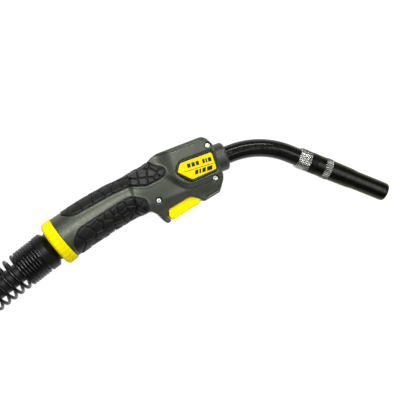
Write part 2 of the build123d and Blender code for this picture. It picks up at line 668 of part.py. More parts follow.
def plug_spigot():
    """The brass tube that carries current, gas and wire into the machine."""
    outline = [(PIN_BORE, PIN_FROM), (PIN_R, PIN_FROM), (PIN_R, PIN_TO - 1), (PIN_R - 1, PIN_TO)]
    spigot = turned(PLUG, outline + [(PIN_BORE, PIN_TO)])
    return spigot - tube(PLUG, PIN_R + 1, PIN_R - 1.2, SEAL_AT - SEAL_R, SEAL_AT + SEAL_R)


def liner_collet():
    """The brass end of the wire liner, which stands out of the spigot."""
    return tube(PLUG, PIN_BORE, LINER_BORE, COLLET_FROM, COLLET_TO)


def build():
    """Every node by name, in the torch frame."""
    skin = inlay_skin()
    nodes = {}
    nodes["handle_shell_left"], nodes["handle_shell_right"] = handle_shells(skin)
    for name, side in zip(("left", "right"), halves(skin)):
        nodes["lower_inlay_" + name], nodes["upper_inlay_" + name] = inlays(side)
    nodes["bezel_left"], nodes["bezel_right"] = bezel(), mirrored(bezel())
    nodes["nameplate_left"], nodes["nameplate_right"] = nameplate(), mirrored(nameplate())
    nodes["shell_screws"] = shell_screws()
    nodes["trigger"] = trigger()
    nodes["trigger_pin"] = trigger_pin()
    nodes["trigger_spring"] = trigger_spring()
    nodes["switch_body"] = switch_body()
    nodes["switch_plunger"] = switch_plunger()
    nodes["switch_terminals"] = switch_terminals()
    nodes["control_wires"] = control_wires()
    nodes["neck_collar"] = neck_collar()
    nodes["neck_jacket"] = swan(JACKET_FROM, JACKET_TO, ring(NECK_R, CONDUCTOR_R))
    nodes["neck_conductor"] = swan(CONDUCTOR_FROM, CONDUCTOR_TO, ring(CONDUCTOR_R, CONDUCTOR_BORE))
    nodes["wire_liner"] = swan(LINER_FROM, LINER_TO, ring(LINER_R, LINER_BORE))
    nodes["neck_block"] = neck_block()
    nodes["cable_crimp"] = cable_crimp()
    nodes["cable_core"] = cable_core()
    nodes["neck_sleeve"] = neck_sleeve()
    nodes["nozzle_insulator"] = nozzle_insulator()
    nodes["nozzle_clip"] = nozzle_clip()
    nodes["tip_adaptor"] = tip_adaptor()
    nodes["gas_diffuser"] = gas_diffuser()
    nodes["contact_tip"] = contact_tip()
    nodes["gas_nozzle"] = gas_nozzle()
    nodes["locking_ring"] = locking_ring()
    nodes["support_cuff"] = support_cuff()
    nodes["support_spring"] = support_spring()
    coil = cable_coil()
    nodes["cable_coil"] = coil
    nodes["cable_lead"] = outside(coil, cable_run("cable_lead", LEAD))
    nodes["cable_tail"] = outside(coil, cable_run("cable_tail", TAIL))
    nodes["coil_ties"] = coil_ties(coil)
    nodes["plug_boot"] = plug_boot()
    nodes["plug_shell_upper"], nodes["plug_shell_lower"] = plug_shells()
    nodes["plug_screws"] = plug_screws()
    nodes["plug_body"] = plug_body()
    nodes["plug_spigot"] = plug_spigot()
    nodes["spigot_seal"] = seal()
    nodes["liner_collet"] = liner_collet()
    nodes["plug_nut"] = plug_nut()
    nodes["contact_pin_left"] = contact_pin(1)
    nodes["contact_pin_right"] = contact_pin(-1)
    return nodes


for node, shape in build().items():
    export_step(HOME * shape, "parts/" + node + ".step")
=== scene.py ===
"""The looks of a MIG welding torch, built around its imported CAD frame."""

import json
import math
import random

import bmesh
import bpy
import numpy as np
from mathutils import Matrix, Vector

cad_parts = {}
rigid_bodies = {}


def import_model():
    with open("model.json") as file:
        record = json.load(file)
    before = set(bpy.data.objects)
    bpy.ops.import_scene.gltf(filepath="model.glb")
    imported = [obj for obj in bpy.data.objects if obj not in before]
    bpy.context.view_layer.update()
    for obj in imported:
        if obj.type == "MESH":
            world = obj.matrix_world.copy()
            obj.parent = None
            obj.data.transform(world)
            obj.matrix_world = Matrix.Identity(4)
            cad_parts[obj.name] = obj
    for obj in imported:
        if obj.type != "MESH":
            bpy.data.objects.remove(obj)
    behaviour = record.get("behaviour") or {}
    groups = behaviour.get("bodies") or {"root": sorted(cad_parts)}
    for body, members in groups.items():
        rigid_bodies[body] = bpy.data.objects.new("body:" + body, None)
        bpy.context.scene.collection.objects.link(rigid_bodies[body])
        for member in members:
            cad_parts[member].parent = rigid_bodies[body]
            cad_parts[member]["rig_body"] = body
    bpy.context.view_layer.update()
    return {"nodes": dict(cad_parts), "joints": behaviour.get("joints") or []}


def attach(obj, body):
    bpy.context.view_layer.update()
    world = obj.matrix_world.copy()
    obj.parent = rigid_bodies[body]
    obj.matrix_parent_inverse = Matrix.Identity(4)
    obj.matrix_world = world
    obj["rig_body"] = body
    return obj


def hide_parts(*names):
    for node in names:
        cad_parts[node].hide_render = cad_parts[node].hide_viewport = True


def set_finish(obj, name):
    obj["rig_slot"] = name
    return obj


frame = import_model()

# Shapes are written in millimetres in the torch's own frame: +X forward along the grip, +Y away
# from the trigger and Z = 0 between the two handle shells. HOME is its origin in the row frame.
MM = 0.001
JOINTS = {joint["name"]: joint for joint in frame["joints"]}
PIVOT = np.array((-4.6, 12.0, 0.0))
HOME = np.array(JOINTS["trigger_pull"]["pos_m"]) / MM - PIVOT
FLOOR = -HOME[2]

# ---- frames and small sums


def row(points):
    """Points of the torch frame, in millimetres, as points of the row frame, in metres."""
    return (np.asarray(points, float) + HOME) * MM


def heading(degrees):
    """A unit vector in the XY plane."""
    return np.array((math.cos(math.radians(degrees)), math.sin(math.radians(degrees)), 0.0))


class Spindle:
    """A line that round pieces are turned about: local Z runs along it and local X points up."""

    def __init__(self, origin, direction):
        self.origin = np.array(origin, float)
        self.z = np.array(direction, float) / np.linalg.norm(direction)
        self.x = np.array((0.0, 0.0, 1.0))
        self.y = np.cross(self.z, self.x)

    def place(self, points):
        return self.origin + points @ np.stack((self.x, self.y, self.z))

    def at(self, distance):
        return self.origin + distance * self.z

    def along(self, x, y):
        """How far along the line a place in the XY plane is."""
        return (x - self.origin[0]) * self.z[0] + (y - self.origin[1]) * self.z[1]

    def over(self, x, y):
        """How far over the line a place in the XY plane is, square to it."""
        return (x - self.origin[0]) * -self.z[1] + (y - self.origin[1]) * self.z[0]


def spindle_of(joint, behind=0.0):
    """The spindle of a joint's axis, with its origin some way behind the joint's own point."""
    place = np.array(JOINTS[joint]["pos_m"]) / MM - HOME
    axis = np.array(JOINTS[joint]["axis"], float)
    return Spindle(place - behind * axis, axis)


def upright(origin):
    """A spindle that points up and keeps the torch frame's X and Y."""
    spindle = Spindle(origin, (0, 0, 1))
    spindle.x, spindle.y = np.eye(3)[:2]
    return spindle


REAR = spindle_of("ring_turn")
PLUG = spindle_of("nut_turn", 120.0)
NECK = Spindle((37.4, 28.9, 0.0), heading(-9.5))
NOSE_AXIS = np.array(JOINTS["nozzle_pull"]["axis"])
NOSE = Spindle(NECK.at(50.4) + 43.0 * NOSE_AXIS, NOSE_AXIS)


def smooth_min(a, b, blend):
    share = np.maximum(blend - np.abs(a - b), 0.0) / blend
    return np.minimum(a, b) - share * share * blend / 4.0


def smooth_max(a, b, blend):
    return -smooth_min(-a, -b, blend)


def ramp(value, low, high):
    """0 below low, 1 above high and a smooth step between."""
    share = np.clip((value - low) / (high - low), 0.0, 1.0)
    return share * share * (3.0 - 2.0 * share)


def ridge(value, width):
    """1 where the value is 0, falling to nothing over about a width."""
    return np.exp(-((value / width) ** 2))


def through(x, stations, column):
    """A smooth curve through one column of a list of stations, which starts with their X."""
    places = [station[0] for station in stations]
    values = np.array([station[column] for station in stations], float)
    slopes = np.gradient(values, places)
    step = np.clip(np.searchsorted(places, x) - 1, 0, len(places) - 2)
    low = np.take(places, step)
    run = np.take(places, step + 1) - low
    t = np.clip((x - low) / run, 0.0, 1.0)
    start, end = np.take(values, step), np.take(values, step + 1)
    bend = run * ((1 - t) * np.take(slopes, step) - t * np.take(slopes, step + 1))
    return (1 - t) * start + t * end + t * (1 - t) * ((1 - 2 * t) * (start - end) + bend)


def rounded(corners, cut, steps=4):
    """An outline with each corner replaced by a curve that starts a cut before it."""
    points = []
    for before, corner, after in zip(corners[-1:] + corners[:-1], corners, corners[1:] + corners[:1]):
        before, corner, after = (np.array(p, float) for p in (before, corner, after))
        runs = (before - corner, after - corner)
        start, end = (corner + run * min(0.45, cut / np.linalg.norm(run)) for run in runs)
        for t in np.linspace(0.0, 1.0, steps):
            points.append((1 - t) ** 2 * start + 2 * t * (1 - t) * corner + t * t * end)
    return points


def outline_distance(x, y, corners):
    """Signed distance from a closed outline in a plane, negative inside it."""
    nearest, inside = np.inf, False
    for (ax, ay), (bx, by) in zip(corners, corners[1:] + corners[:1]):
        ex, ey = bx - ax, by - ay
        if abs(ex) + abs(ey) < 1e-9:
            continue
        wx, wy = x - ax, y - ay
        t = np.clip((wx * ex + wy * ey) / (ex * ex + ey * ey), 0.0, 1.0)
        nearest = np.minimum(nearest, (wx - ex * t) ** 2 + (wy - ey * t) ** 2)
        crossed = ((ay > y) != (by > y)) & (wx < ex * wy / (ey if ey else 1e-9))
        inside = inside ^ crossed
    return np.where(inside, -1.0, 1.0) * np.sqrt(nearest)


# ---- mesh building


def mesh_of(name, points, faces, crease=50.0):
    """A mesh from points of the torch frame, smooth except across creases."""
    mesh = bpy.data.meshes.new(name)
    mesh.from_pydata(row(points).tolist(), [], [tuple(face) for face in faces])
    mesh.validate()
    mesh.polygons.foreach_set("use_smooth", [True] * len(mesh.polygons))
    mesh.set_sharp_from_angle(angle=math.radians(crease))
    return mesh


def show(name, data):
    """A new object in the scene."""
    made = bpy.data.objects.new(name, data)
    bpy.context.scene.collection.objects.link(made)
    return made


def piece(name, mesh, look, body, slot, replaces=()):
    """Shows a mesh or curve as a piece on a CAD body, with one of the LOOKS and a record slot."""
    made = show(name, mesh)
    mesh.materials.append(LOOKS[look])
    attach(made, body)
    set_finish(made, slot)
    if replaces:
        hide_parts(*replaces)
    return made


def corner_grid(field, axis, side):
    """One end of every grid edge along an axis."""
    cut = [slice(None)] * 3
    cut[axis] = slice(1, None) if side else slice(None, -1)
    return field[tuple(cut)]


def surface(form, low, high, step):
    """Points and quads on the zero level of a form, found on a grid and drawn onto the level."""
    axes = [np.arange(a, b + step, step) for a, b in zip(low, high)]
    x, y, z = np.meshgrid(*axes, indexing="ij", sparse=True)
    field = np.broadcast_to(form(x, y, z), [len(axis) for axis in axes]).astype(np.float32)
    cells = np.array(field.shape) - 1
    total, hits = np.zeros((*cells, 3), np.float32), np.zeros(cells, np.int16)
    crossings = []
    for axis in range(3):
        first, last = corner_grid(field, axis, 0), corner_grid(field, axis, 1)
        crossed = (first < 0) != (last < 0)
        share = np.where(crossed, first / np.where(crossed, first - last, 1.0), 0.0)
        others = [other for other in range(3) if other != axis]
        for du in (0, 1):
            for dv in (0, 1):
                cut = [slice(None)] * 3
                cut[others[0]] = slice(du, du + cells[others[0]])
                cut[others[1]] = slice(dv, dv + cells[others[1]])
                here = crossed[tuple(cut)]
                hits += here
                total[..., axis] += share[tuple(cut)]
                total[..., others[0]] += here * du
                total[..., others[1]] += here * dv
        crossings.append((axis, others, crossed, first < 0))
    used = hits > 0
    index = np.full(cells, -1, np.int64)
    index[used] = np.arange(used.sum())
    points = np.argwhere(used) + total[used] / hits[used][:, None]
    points = np.array(low) + points * step
    faces = []
    for axis, others, crossed, inward in crossings:
        places = np.argwhere(crossed)
        inner = np.all([(places[:, o] > 0) & (places[:, o] < cells[o]) for o in others], axis=0)
        places = places[inner]
        corners = []
        for du, dv in ((1, 1), (0, 1), (0, 0), (1, 0)):
            shift = np.zeros(3, int)
            shift[others[0]], shift[others[1]] = du, dv
            corners.append(index[tuple((places - shift).T)])
        quads = np.stack(corners, axis=1)
        flip = inward[tuple(places.T)] ^ (axis == 1)
        quads[~flip] = quads[~flip][:, ::-1]
        faces.append(quads)
    return settle(form, points, step), np.concatenate(faces)


def settle(form, points, step):
    """Draws points onto the zero level of a form along its slope."""
    reach = 0.25 * step
    for _ in range(3):
        value = form(*points.T)
        slope = np.stack(
            [
                (form(*(points + nudge).T) - form(*(points - nudge).T)) / (2 * reach)
                for nudge in np.eye(3) * reach
            ],
            axis=1,
        )
        steep = np.maximum((slope**2).sum(axis=1), 0.2)
        move = -(value / steep)[:, None] * slope
        length = np.linalg.norm(move, axis=1, keepdims=True)
        points = points + move * np.minimum(1.0, 0.4 * step / np.maximum(length, 1e-9))
    return points


def solid(name, form, low, high, step, look, body, slot, replaces=(), spindle=None, crease=50.0):
    """A piece whose surface is the zero level of a form, which may be in a spindle's own frame."""
    points, faces = surface(form, low, high, step)
    if spindle:
        points = spindle.place(points)
    return piece(name, mesh_of(name, points, faces, crease), look, body, slot, replaces)


def mirrored(name, source, look, replaces=()):
    """The right-hand copy of a left-hand piece."""
    mesh = source.data.copy()
    mesh.name = name
    mesh.materials.clear()
    middle = HOME[2] * MM
    mesh.transform(Matrix.Translation((0, 0, middle)) @ Matrix.Diagonal((1, 1, -1, 1)) @
                   Matrix.Translation((0, 0, -middle)))
    mesh.flip_normals()
    return piece(name, mesh, look, source["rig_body"], source["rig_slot"], replaces)


def both_sides(name, form, low, high, step, look, slot, node, crease=50.0):
    """The left-hand piece with this form and its right-hand copy, in place of the nodes of both sides."""
    left = solid(f"{name}_left", form, low, high, step, look, "handle", slot, [f"{node}_left"], crease=crease)
    mirrored(f"{name}_right", left, look, [f"{node}_right"])


def dense(outline, step):
    """A closed outline with points at most a step apart."""
    points = []
    for start, end in zip(outline, outline[1:] + outline[:1]):
        start, end = np.array(start, float), np.array(end, float)
        count = max(1, math.ceil(np.linalg.norm(end - start) / step))
        points += [start + (end - start) * k / count for k in range(count)]
    return points


def ring_faces(rings, around):
    """Quads between rings of points; the last ring is joined to the first."""
    here = np.arange(rings * around).reshape(rings, around)
    after = np.roll(here, -1, axis=0)
    faces = np.stack((here, np.roll(here, -1, axis=1), np.roll(after, -1, axis=1), after), axis=-1)
    return faces.reshape(-1, 4)


def turned(name, spindle, outline, look, body, slot, replaces=(), around=120, bump=None, crease=40.0):
    """A ring turned from a closed (radius, distance) outline; bump(angle, radius, distance)
    is added to its radius."""
    outline = np.array(outline)
    angle = np.arange(around) * 2 * math.pi / around
    radius = np.repeat(outline[:, :1], around, axis=1)
    distance = np.repeat(outline[:, 1:], around, axis=1)
    if bump:
        radius = radius + bump(angle[None, :], radius, distance)
    points = np.stack((radius * np.cos(angle), radius * np.sin(angle), distance), axis=-1)
    points = spindle.place(points.reshape(-1, 3))
    mesh = mesh_of(name, points, ring_faces(len(outline), around), crease)
    fix_normals(mesh)
    return piece(name, mesh, look, body, slot, replaces)


def fix_normals(mesh):
    """Turns every face outward."""
    work = bmesh.new()
    work.from_mesh(mesh)
    bmesh.ops.recalc_face_normals(work, faces=work.faces)
    work.to_mesh(mesh)
    work.free()


def wire(name, points, radius, look, body, slot, replaces=(), sides=6):
    """A round bar along a smooth line with these control points."""
    curve = bpy.data.curves.new(name, "CURVE")
    curve.dimensions = "3D"
    line = curve.splines.new("NURBS")
    line.points.add(len(points) - 1)
    for point, place in zip(line.points, row(points)):
        point.co = (*place, 1.0)
    line.order_u = 3
    line.use_endpoint_u = True
    curve.bevel_depth = radius * MM
    curve.bevel_resolution = sides
    curve.resolution_u = 6
    curve.use_fill_caps = True
    return piece(name, curve, look, body, slot, replaces)


# ---- materials


def fill(node, **values):
    """Sets plain values on a node's sockets; an underscore stands for a space in a socket's name."""
    for socket, value in values.items():
        node.inputs[socket.replace("_", " ")].default_value = value
    return node


def add_node(look, kind, **values):
    return fill(look.node_tree.nodes.new(kind), **values)


def link(look, output, node, socket):
    look.node_tree.links.new(output, node.inputs[socket])


def principled(look):
    return look.node_tree.nodes["Principled BSDF"]


def rgba(color):
    """An opaque colour; one number stands for a grey."""
    return (*(color if isinstance(color, tuple) else (color,) * 3), 1.0)


def shader(name, base, roughness, metallic=0.0, **sockets):
    """A principled material with its plain values set on its own sockets."""
    look = bpy.data.materials.new(name)
    look.use_nodes = True
    fill(principled(look), Base_Color=rgba(base), Roughness=roughness, Metallic=metallic, **sockets)
    return look


def noise(look, scale, detail=3.0, stretch=(1.0, 1.0, 1.0), turn=0.0):
    """Noise in the object's own coordinates; scale is features per metre."""
    coordinates = add_node(look, "ShaderNodeTexCoord")
    mapping = add_node(look, "ShaderNodeMapping", Scale=stretch, Rotation=(0.0, 0.0, turn))
    mapping.vector_type = "TEXTURE" if turn else "POINT"
    texture = add_node(look, "ShaderNodeTexNoise", Scale=scale, Detail=detail)
    link(look, coordinates.outputs["Object"], mapping, "Vector")
    link(look, mapping.outputs["Vector"], texture, "Vector")
    return texture.outputs["Fac"]


def vary_color(look, factor, first, second, spread=(0.35, 0.65)):
    """Base colour between two colours, by a factor."""
    colors = add_node(look, "ShaderNodeValToRGB")
    for element, place, color in zip(colors.color_ramp.elements, spread, (first, second)):
        element.position = place
        element.color = rgba(color)
    link(look, factor, colors, "Fac")
    link(look, colors.outputs["Color"], principled(look), "Base Color")


def vary_roughness(look, factor, low, high):
    spread = add_node(look, "ShaderNodeMapRange", From_Min=0.3, From_Max=0.7, To_Min=low, To_Max=high)
    link(look, factor, spread, "Value")
    link(look, spread.outputs["Result"], principled(look), "Roughness")


def relief(look, factor, height):
    """Bump of a height in millimetres."""
    bump = add_node(look, "ShaderNodeBump", Strength=1.0, Distance=height * MM)
    link(look, factor, bump, "Height")
    link(look, bump.outputs["Normal"], principled(look), "Normal")


def moulded(name, dark, light, roughness, grain=1400.0, depth=0.05, shine=0.5, **sockets):
    """Moulded plastic or rubber: cloudy colour, uneven gloss and a fine spark-eroded grain."""
    look = shader(name, dark, roughness[0], Specular_IOR_Level=shine, **sockets)
    vary_color(look, noise(look, 90.0), dark, light)
    vary_roughness(look, noise(look, 300.0), *roughness)
    relief(look, noise(look, grain, 2.0), depth)
    return look


def machined(name, dark, light, roughness, turn=0.0, lines=2200.0, depth=0.01, **sockets):
    """Turned metal: fine lines round its axis, stains and uneven polish."""
    look = shader(name, dark, roughness[0], metallic=1.0, **sockets)
    vary_color(look, noise(look, 160.0), dark, light)
    vary_roughness(look, noise(look, 420.0), *roughness)
    relief(look, noise(look, lines, 1.0, stretch=(1.0, 0.02, 0.02), turn=turn), depth)
    return look


def woven(name, dark, light, threads=900.0):
    """A woven strap: crossed waves of threads over its colour and relief."""
    look = shader(name, dark, 0.85)
    coordinates = add_node(look, "ShaderNodeTexCoord")
    both = add_node(look, "ShaderNodeMath")
    both.operation = "MULTIPLY"
    for number, direction in enumerate("XZ"):
        wave = add_node(look, "ShaderNodeTexWave", Scale=threads, Distortion=0.4)
        wave.bands_direction = direction
        link(look, coordinates.outputs["Object"], wave, "Vector")
        link(look, wave.outputs["Fac"], both, number)
    vary_color(look, both.outputs["Value"], dark, light, (0.1, 0.8))
    relief(look, both.outputs["Value"], 0.25)
    return look


NOSE_TURN = math.atan2(NOSE_AXIS[1], NOSE_AXIS[0])
PLUG_AIM = math.atan2(PLUG.z[1], PLUG.z[0])
LOOKS = {
    "shell": moulded("shell_plastic", (0.028, 0.032, 0.024), (0.038, 0.043, 0.032), (0.34, 0.42),
                     1500.0, 0.08, Specular_Tint=(0.97, 1.0, 0.84, 1.0)),
    "grip": moulded("grip_rubber", 0.004, (0.008, 0.008, 0.007), (0.4, 0.54), 1800.0, 0.05, shine=0.25),
    "bezel": moulded("bezel_plastic", 0.004, 0.007, (0.25, 0.36), 900.0, 0.02, shine=0.25),
    "plate": moulded("plate_yellow", (0.78, 0.6, 0.0), (0.83, 0.64, 0.0), (0.4, 0.5),
                     500.0, 0.02, shine=0.04),
    "marks": moulded("plate_marks", 0.004, 0.01, (0.4, 0.55), 1500.0, 0.02, shine=0.15),
    "yellow": moulded("yellow_plastic", (0.8, 0.66, 0.0), (0.85, 0.71, 0.0), (0.45, 0.56),
                      1200.0, 0.04, shine=0.04),
    "screw": machined("screw_steel", (0.72, 0.72, 0.7), (0.86, 0.86, 0.84), (0.38, 0.5)),
    "collar": moulded("collar_plastic", (0.018, 0.02, 0.017), (0.026, 0.029, 0.025), (0.34, 0.46),
                      1300.0, 0.05, Specular_Tint=(0.97, 1.0, 0.9, 1.0)),
    "neck": moulded("neck_black", 0.003, (0.006, 0.006, 0.005), (0.1, 0.22), 160.0, 0.12, shine=0.28),
    "sleeve": machined("sleeve_chrome", (0.12, 0.12, 0.11), (0.42, 0.42, 0.4), (0.12, 0.26), NOSE_TURN),
    "nozzle": machined("nozzle_chrome", (0.019, 0.02, 0.017), (0.029, 0.03, 0.025), (0.26, 0.38), NOSE_TURN,
                       1500.0, 0.02, Specular_Tint=(1.0, 1.0, 0.78, 1.0)),
    "insulator": moulded("insulator_black", 0.002, (0.005, 0.005, 0.004), (0.35, 0.5), shine=0.12),
    "ceramic": moulded("pale_ceramic", (0.62, 0.56, 0.46), (0.7, 0.64, 0.54), (0.5, 0.65), 900.0, 0.03),
    "copper": machined("copper", (0.72, 0.33, 0.2), (0.82, 0.42, 0.27), (0.2, 0.36), NOSE_TURN),
    "brass": machined("brass", (0.68, 0.47, 0.2), (0.78, 0.58, 0.27), (0.16, 0.32), PLUG_AIM),
    "steel": machined("spring_steel", 0.5, (0.62, 0.62, 0.61), (0.2, 0.34)),
    "spring": moulded("spring_black", 0.002, 0.004, (0.16, 0.28), 500.0, 0.02, shine=0.35),
    "cuff": moulded("cuff_black", 0.004, (0.008, 0.008, 0.007), (0.3, 0.42), 1200.0, 0.04, shine=0.22),
    "cable": moulded("cable_rubber", 0.008, (0.014, 0.014, 0.013), (0.32, 0.48), 700.0, 0.06),
    "strap": woven("strap_fabric", 0.01, 0.04),
    "plug": moulded("plug_plastic", (0.014, 0.014, 0.015), (0.022, 0.022, 0.023), (0.36, 0.5), 1300.0, 0.06),
    "red": moulded("plunger_red", (0.45, 0.04, 0.03), (0.55, 0.06, 0.04), (0.35, 0.45)),
    "sheath": moulded("core_sheath", 0.02, 0.03, (0.4, 0.55), 800.0, 0.05),
}

# CAD nodes that are shown as they are, by the material that they get
KEPT = {
    "steel": ["trigger_spring", "nozzle_clip", "wire_liner", "trigger_pin"],
    "insulator": ["switch_body", "nozzle_insulator"],
    "red": ["switch_plunger", "control_wires"],
    "brass": ["switch_terminals", "neck_block", "cable_crimp", "tip_adaptor", "plug_spigot", "liner_collet",
              "contact_pin_left", "contact_pin_right"],
    "copper": ["neck_conductor", "contact_tip"],
    "ceramic": ["gas_diffuser"],
    "neck": ["neck_jacket"],
    "sheath": ["cable_core", "spigot_seal"],
    "plug": ["plug_body"],
}


def dress_kept_nodes():
    """Gives the CAD nodes that stay their materials."""
    for look, names in KEPT.items():
        for name in names:
            mesh = frame["nodes"][name].data
            mesh.materials.clear()
            mesh.materials.append(LOOKS[look])


# ---- camera and light

VIEW_TURN = 30.0  # the grip climbs to the right by this many degrees in the picture
CAMERA_LEAN = 7.5
CAMERA_AWAY = 693.0
LENS, SENSOR = 59.4, 36.0
FLOOR_HALF = 4.0  # half of the floor's side and how far it lies under the torch, in metres
FLOOR_DROP = 0.0003
# how far aside, up the picture and over the torch each lamp is, its size, all in metres, and its power
LAMPS = {
    "key_box": (-0.22, 0.34, 1.25, (0.5, 0.45), 13.0),
    "right_box": (0.7, 0.0, 1.1, (0.8, 0.7), 6.5),
    "streak": (-0.1, 0.98, 0.86, (1.1, 0.05), 7.0),
    "left_fill": (-1.1, 0.1, 0.8, (0.7, 0.6), 1.6),
}
ROOM_LIGHT = 0.1
# right and up of the picture, along the floor
RIGHTWARD, UPWARD = heading(-VIEW_TURN), heading(90 - VIEW_TURN)


def camera_axes():
    """Right, up and backward of the camera, in the row frame."""
    lean = math.radians(CAMERA_LEAN)
    back = math.cos(lean) * np.array((0, 0, 1)) - math.sin(lean) * RIGHTWARD
    return np.cross(UPWARD, back), UPWARD, back


def set_camera():
    right, upward, back = camera_axes()
    camera = show("camera", bpy.data.cameras.new("camera"))
    camera.data.lens = LENS
    camera.data.sensor_width = SENSOR
    matrix = np.eye(4)
    matrix[:3, :3] = np.stack((right, upward, back), axis=1)
    matrix[:3, 3] = row(CAMERA_AWAY * back)
    camera.matrix_world = Matrix(matrix.tolist())
    bpy.context.scene.camera = camera


def softbox(name, aside, upward, high, size, power):
    """An area light aimed at the torch."""
    lamp = bpy.data.lights.new(name, "AREA")
    lamp.shape = "RECTANGLE"
    lamp.size, lamp.size_y = size
    lamp.energy = power
    made = show(name, lamp)
    place = Vector(aside * RIGHTWARD + upward * UPWARD) + Vector((0, 0, high))
    made.location = place + Vector(row((0, 0, 0)))
    made.rotation_euler = place.to_track_quat("Z", "Y").to_euler()


def set_stage():
    """A pale floor, soft lights and a dim room."""
    floor_mesh = bpy.data.meshes.new("floor")
    corners = [(-1, -1), (1, -1), (1, 1), (-1, 1)]
    floor_mesh.from_pydata([(FLOOR_HALF * x, FLOOR_HALF * y, 0) for x, y in corners], [], [(0, 1, 2, 3)])
    floor = show("floor", floor_mesh)
    floor.location.z = -FLOOR_DROP
    paper = shader("floor_paper", 0.15, 0.95, Emission_Color=rgba(1.0), Emission_Strength=0.95)
    vary_color(paper, noise(paper, 3.0), 0.14, 0.16)
    floor_mesh.materials.append(paper)
    for name, setting in LAMPS.items():
        softbox(name, *setting)
    world = bpy.data.worlds.new("room")
    bpy.context.scene.world = world
    world.use_nodes = True
    fill(world.node_tree.nodes["Background"], Color=rgba(1.0), Strength=ROOM_LIGHT)
    bpy.context.scene.view_settings.view_transform = "Standard"


# ---- cable

CABLE_R = 10.5
TIE_T = 1.2
COIL_LOW = FLOOR + CABLE_R + TIE_T
COIL_HIGH = COIL_LOW + 2 * CABLE_R
COIL_CENTRE = np.array((-438.3, -74.9))
OUTER_R, INNER_R = 128.5, 107.5
COIL_FROM = 82.0  # the angle where the cable joins the coil, and how far it goes round from there
COIL_SWEEP = 3 * 360.0 + 188.0
POINTS_A_TURN = 24
LEAD = [(-137.6, 37.0, 0.0), (-216.3, 26.0, 0.0), (-276.0, 17.4, -6.5), (-340.2, 41.1, COIL_LOW)]
TAIL = [(-384.0, -203.4, COIL_HIGH), (-312.0, -203.4, -0.6), (-275.0, -203.4, -0.6)]
TIE_ANGLES = (120.0, 250.0)
# half of a strap's width, its gap to the cables and its thickness in the middle and at its edges
TIE_HALF, TIE_GAP, TIE_MIDDLE_T, TIE_EDGE_T = 10.0, 0.1, 1.1, 0.7


def coil_place(turned_by):
    """The cable's middle after it has gone some degrees round the coil: the outer and the inner
    lane below, then the inner and the outer lane above."""
    inward = ramp(turned_by, 300.0, 360.0) - ramp(turned_by, 930.0, 990.0)
    radius = OUTER_R - (OUTER_R - INNER_R) * inward
    height = COIL_LOW + (COIL_HIGH - COIL_LOW) * ramp(turned_by, 600.0, 660.0)
    angle = math.radians(COIL_FROM + turned_by)
    centre = COIL_CENTRE + radius * np.array((math.cos(angle), math.sin(angle)))
    return np.array((*centre, height)), radius


def coil_points():
    """Control points of the coil's turns, pushed out so that their spline has the coil's radius."""
    count = round(COIL_SWEEP / 360.0 * POINTS_A_TURN)
    push = 1.0 / math.cos(math.radians(COIL_SWEEP / count / 2.0))
    points = []
    for k in range(count + 1):
        place, _ = coil_place(COIL_SWEEP * k / count)
        place[:2] = COIL_CENTRE + (place[:2] - COIL_CENTRE) * push
        points.append(place)
    return points


def make_cable():
    """The whole cable, from the ball in the handle round its coil to the plug."""
    points = LEAD + coil_points() + TAIL
    return wire("cable", points, CABLE_R, "cable", "cable", "cable_rubber",
                ["cable_lead", "cable_coil", "cable_tail"], sides=10)


def turns_left(a, b, c):
    return (b[0] - a[0]) * (c[1] - a[1]) - (b[1] - a[1]) * (c[0] - a[0]) > 0


def hull(points):
    """The convex outline round points in a plane, anticlockwise."""
    points = sorted(map(tuple, points))
    halves = []
    for run in (points, points[::-1]):
        chain = []
        for p in run:
            while len(chain) > 1 and not turns_left(*chain[-2:], p):
                chain.pop()
            chain.append(p)
        halves += chain[:-1]
    return halves


def make_tie(number, angle):
    """A strap round the cables that pass one angle of the coil, thinner along its edges."""
    circle = np.linspace(0, 2 * math.pi, 41)[:-1]
    reach = CABLE_R + TIE_GAP
    rims = []
    for turned_by in np.arange((angle - COIL_FROM) % 360.0, COIL_SWEEP, 360.0):
        place, radius = coil_place(turned_by)
        rims += [(radius + reach * math.cos(t), place[2] + reach * math.sin(t)) for t in circle]
    inner = np.array(hull(rims))
    runs = np.roll(inner, -1, axis=0) - np.roll(inner, 1, axis=0)
    outward = np.stack((runs[:, 1], -runs[:, 0]), axis=1) / np.linalg.norm(runs, axis=1)[:, None]
    radial, sideways = heading(angle), heading(angle - 90)
    widths = [side * (TIE_HALF - inset) for side, inset in
              ((-1, 0), (-1, 0.5), (-1, 1), (1, 1), (1, 0.5), (1, 0))]
    section = [(w, TIE_MIDDLE_T if abs(w) < TIE_HALF else TIE_EDGE_T) for w in widths]
    section += [(w, 0.0) for w in reversed(widths)]
    points = []
    for rim, out in zip(inner, outward):
        for w, thick in section:
            r, h = rim + out * thick
            points.append(np.array((*COIL_CENTRE, h)) + radial * r + sideways * w)
    name = f"coil_tie_{number}"
    mesh = mesh_of(name, points, ring_faces(len(inner), len(section)))
    fix_normals(mesh)
    piece(name, mesh, "strap", "cable", "tie_fabric", ["coil_ties"] if number == 1 else ())


# ---- handle

WALL = 2.6
SPLIT = 0.04
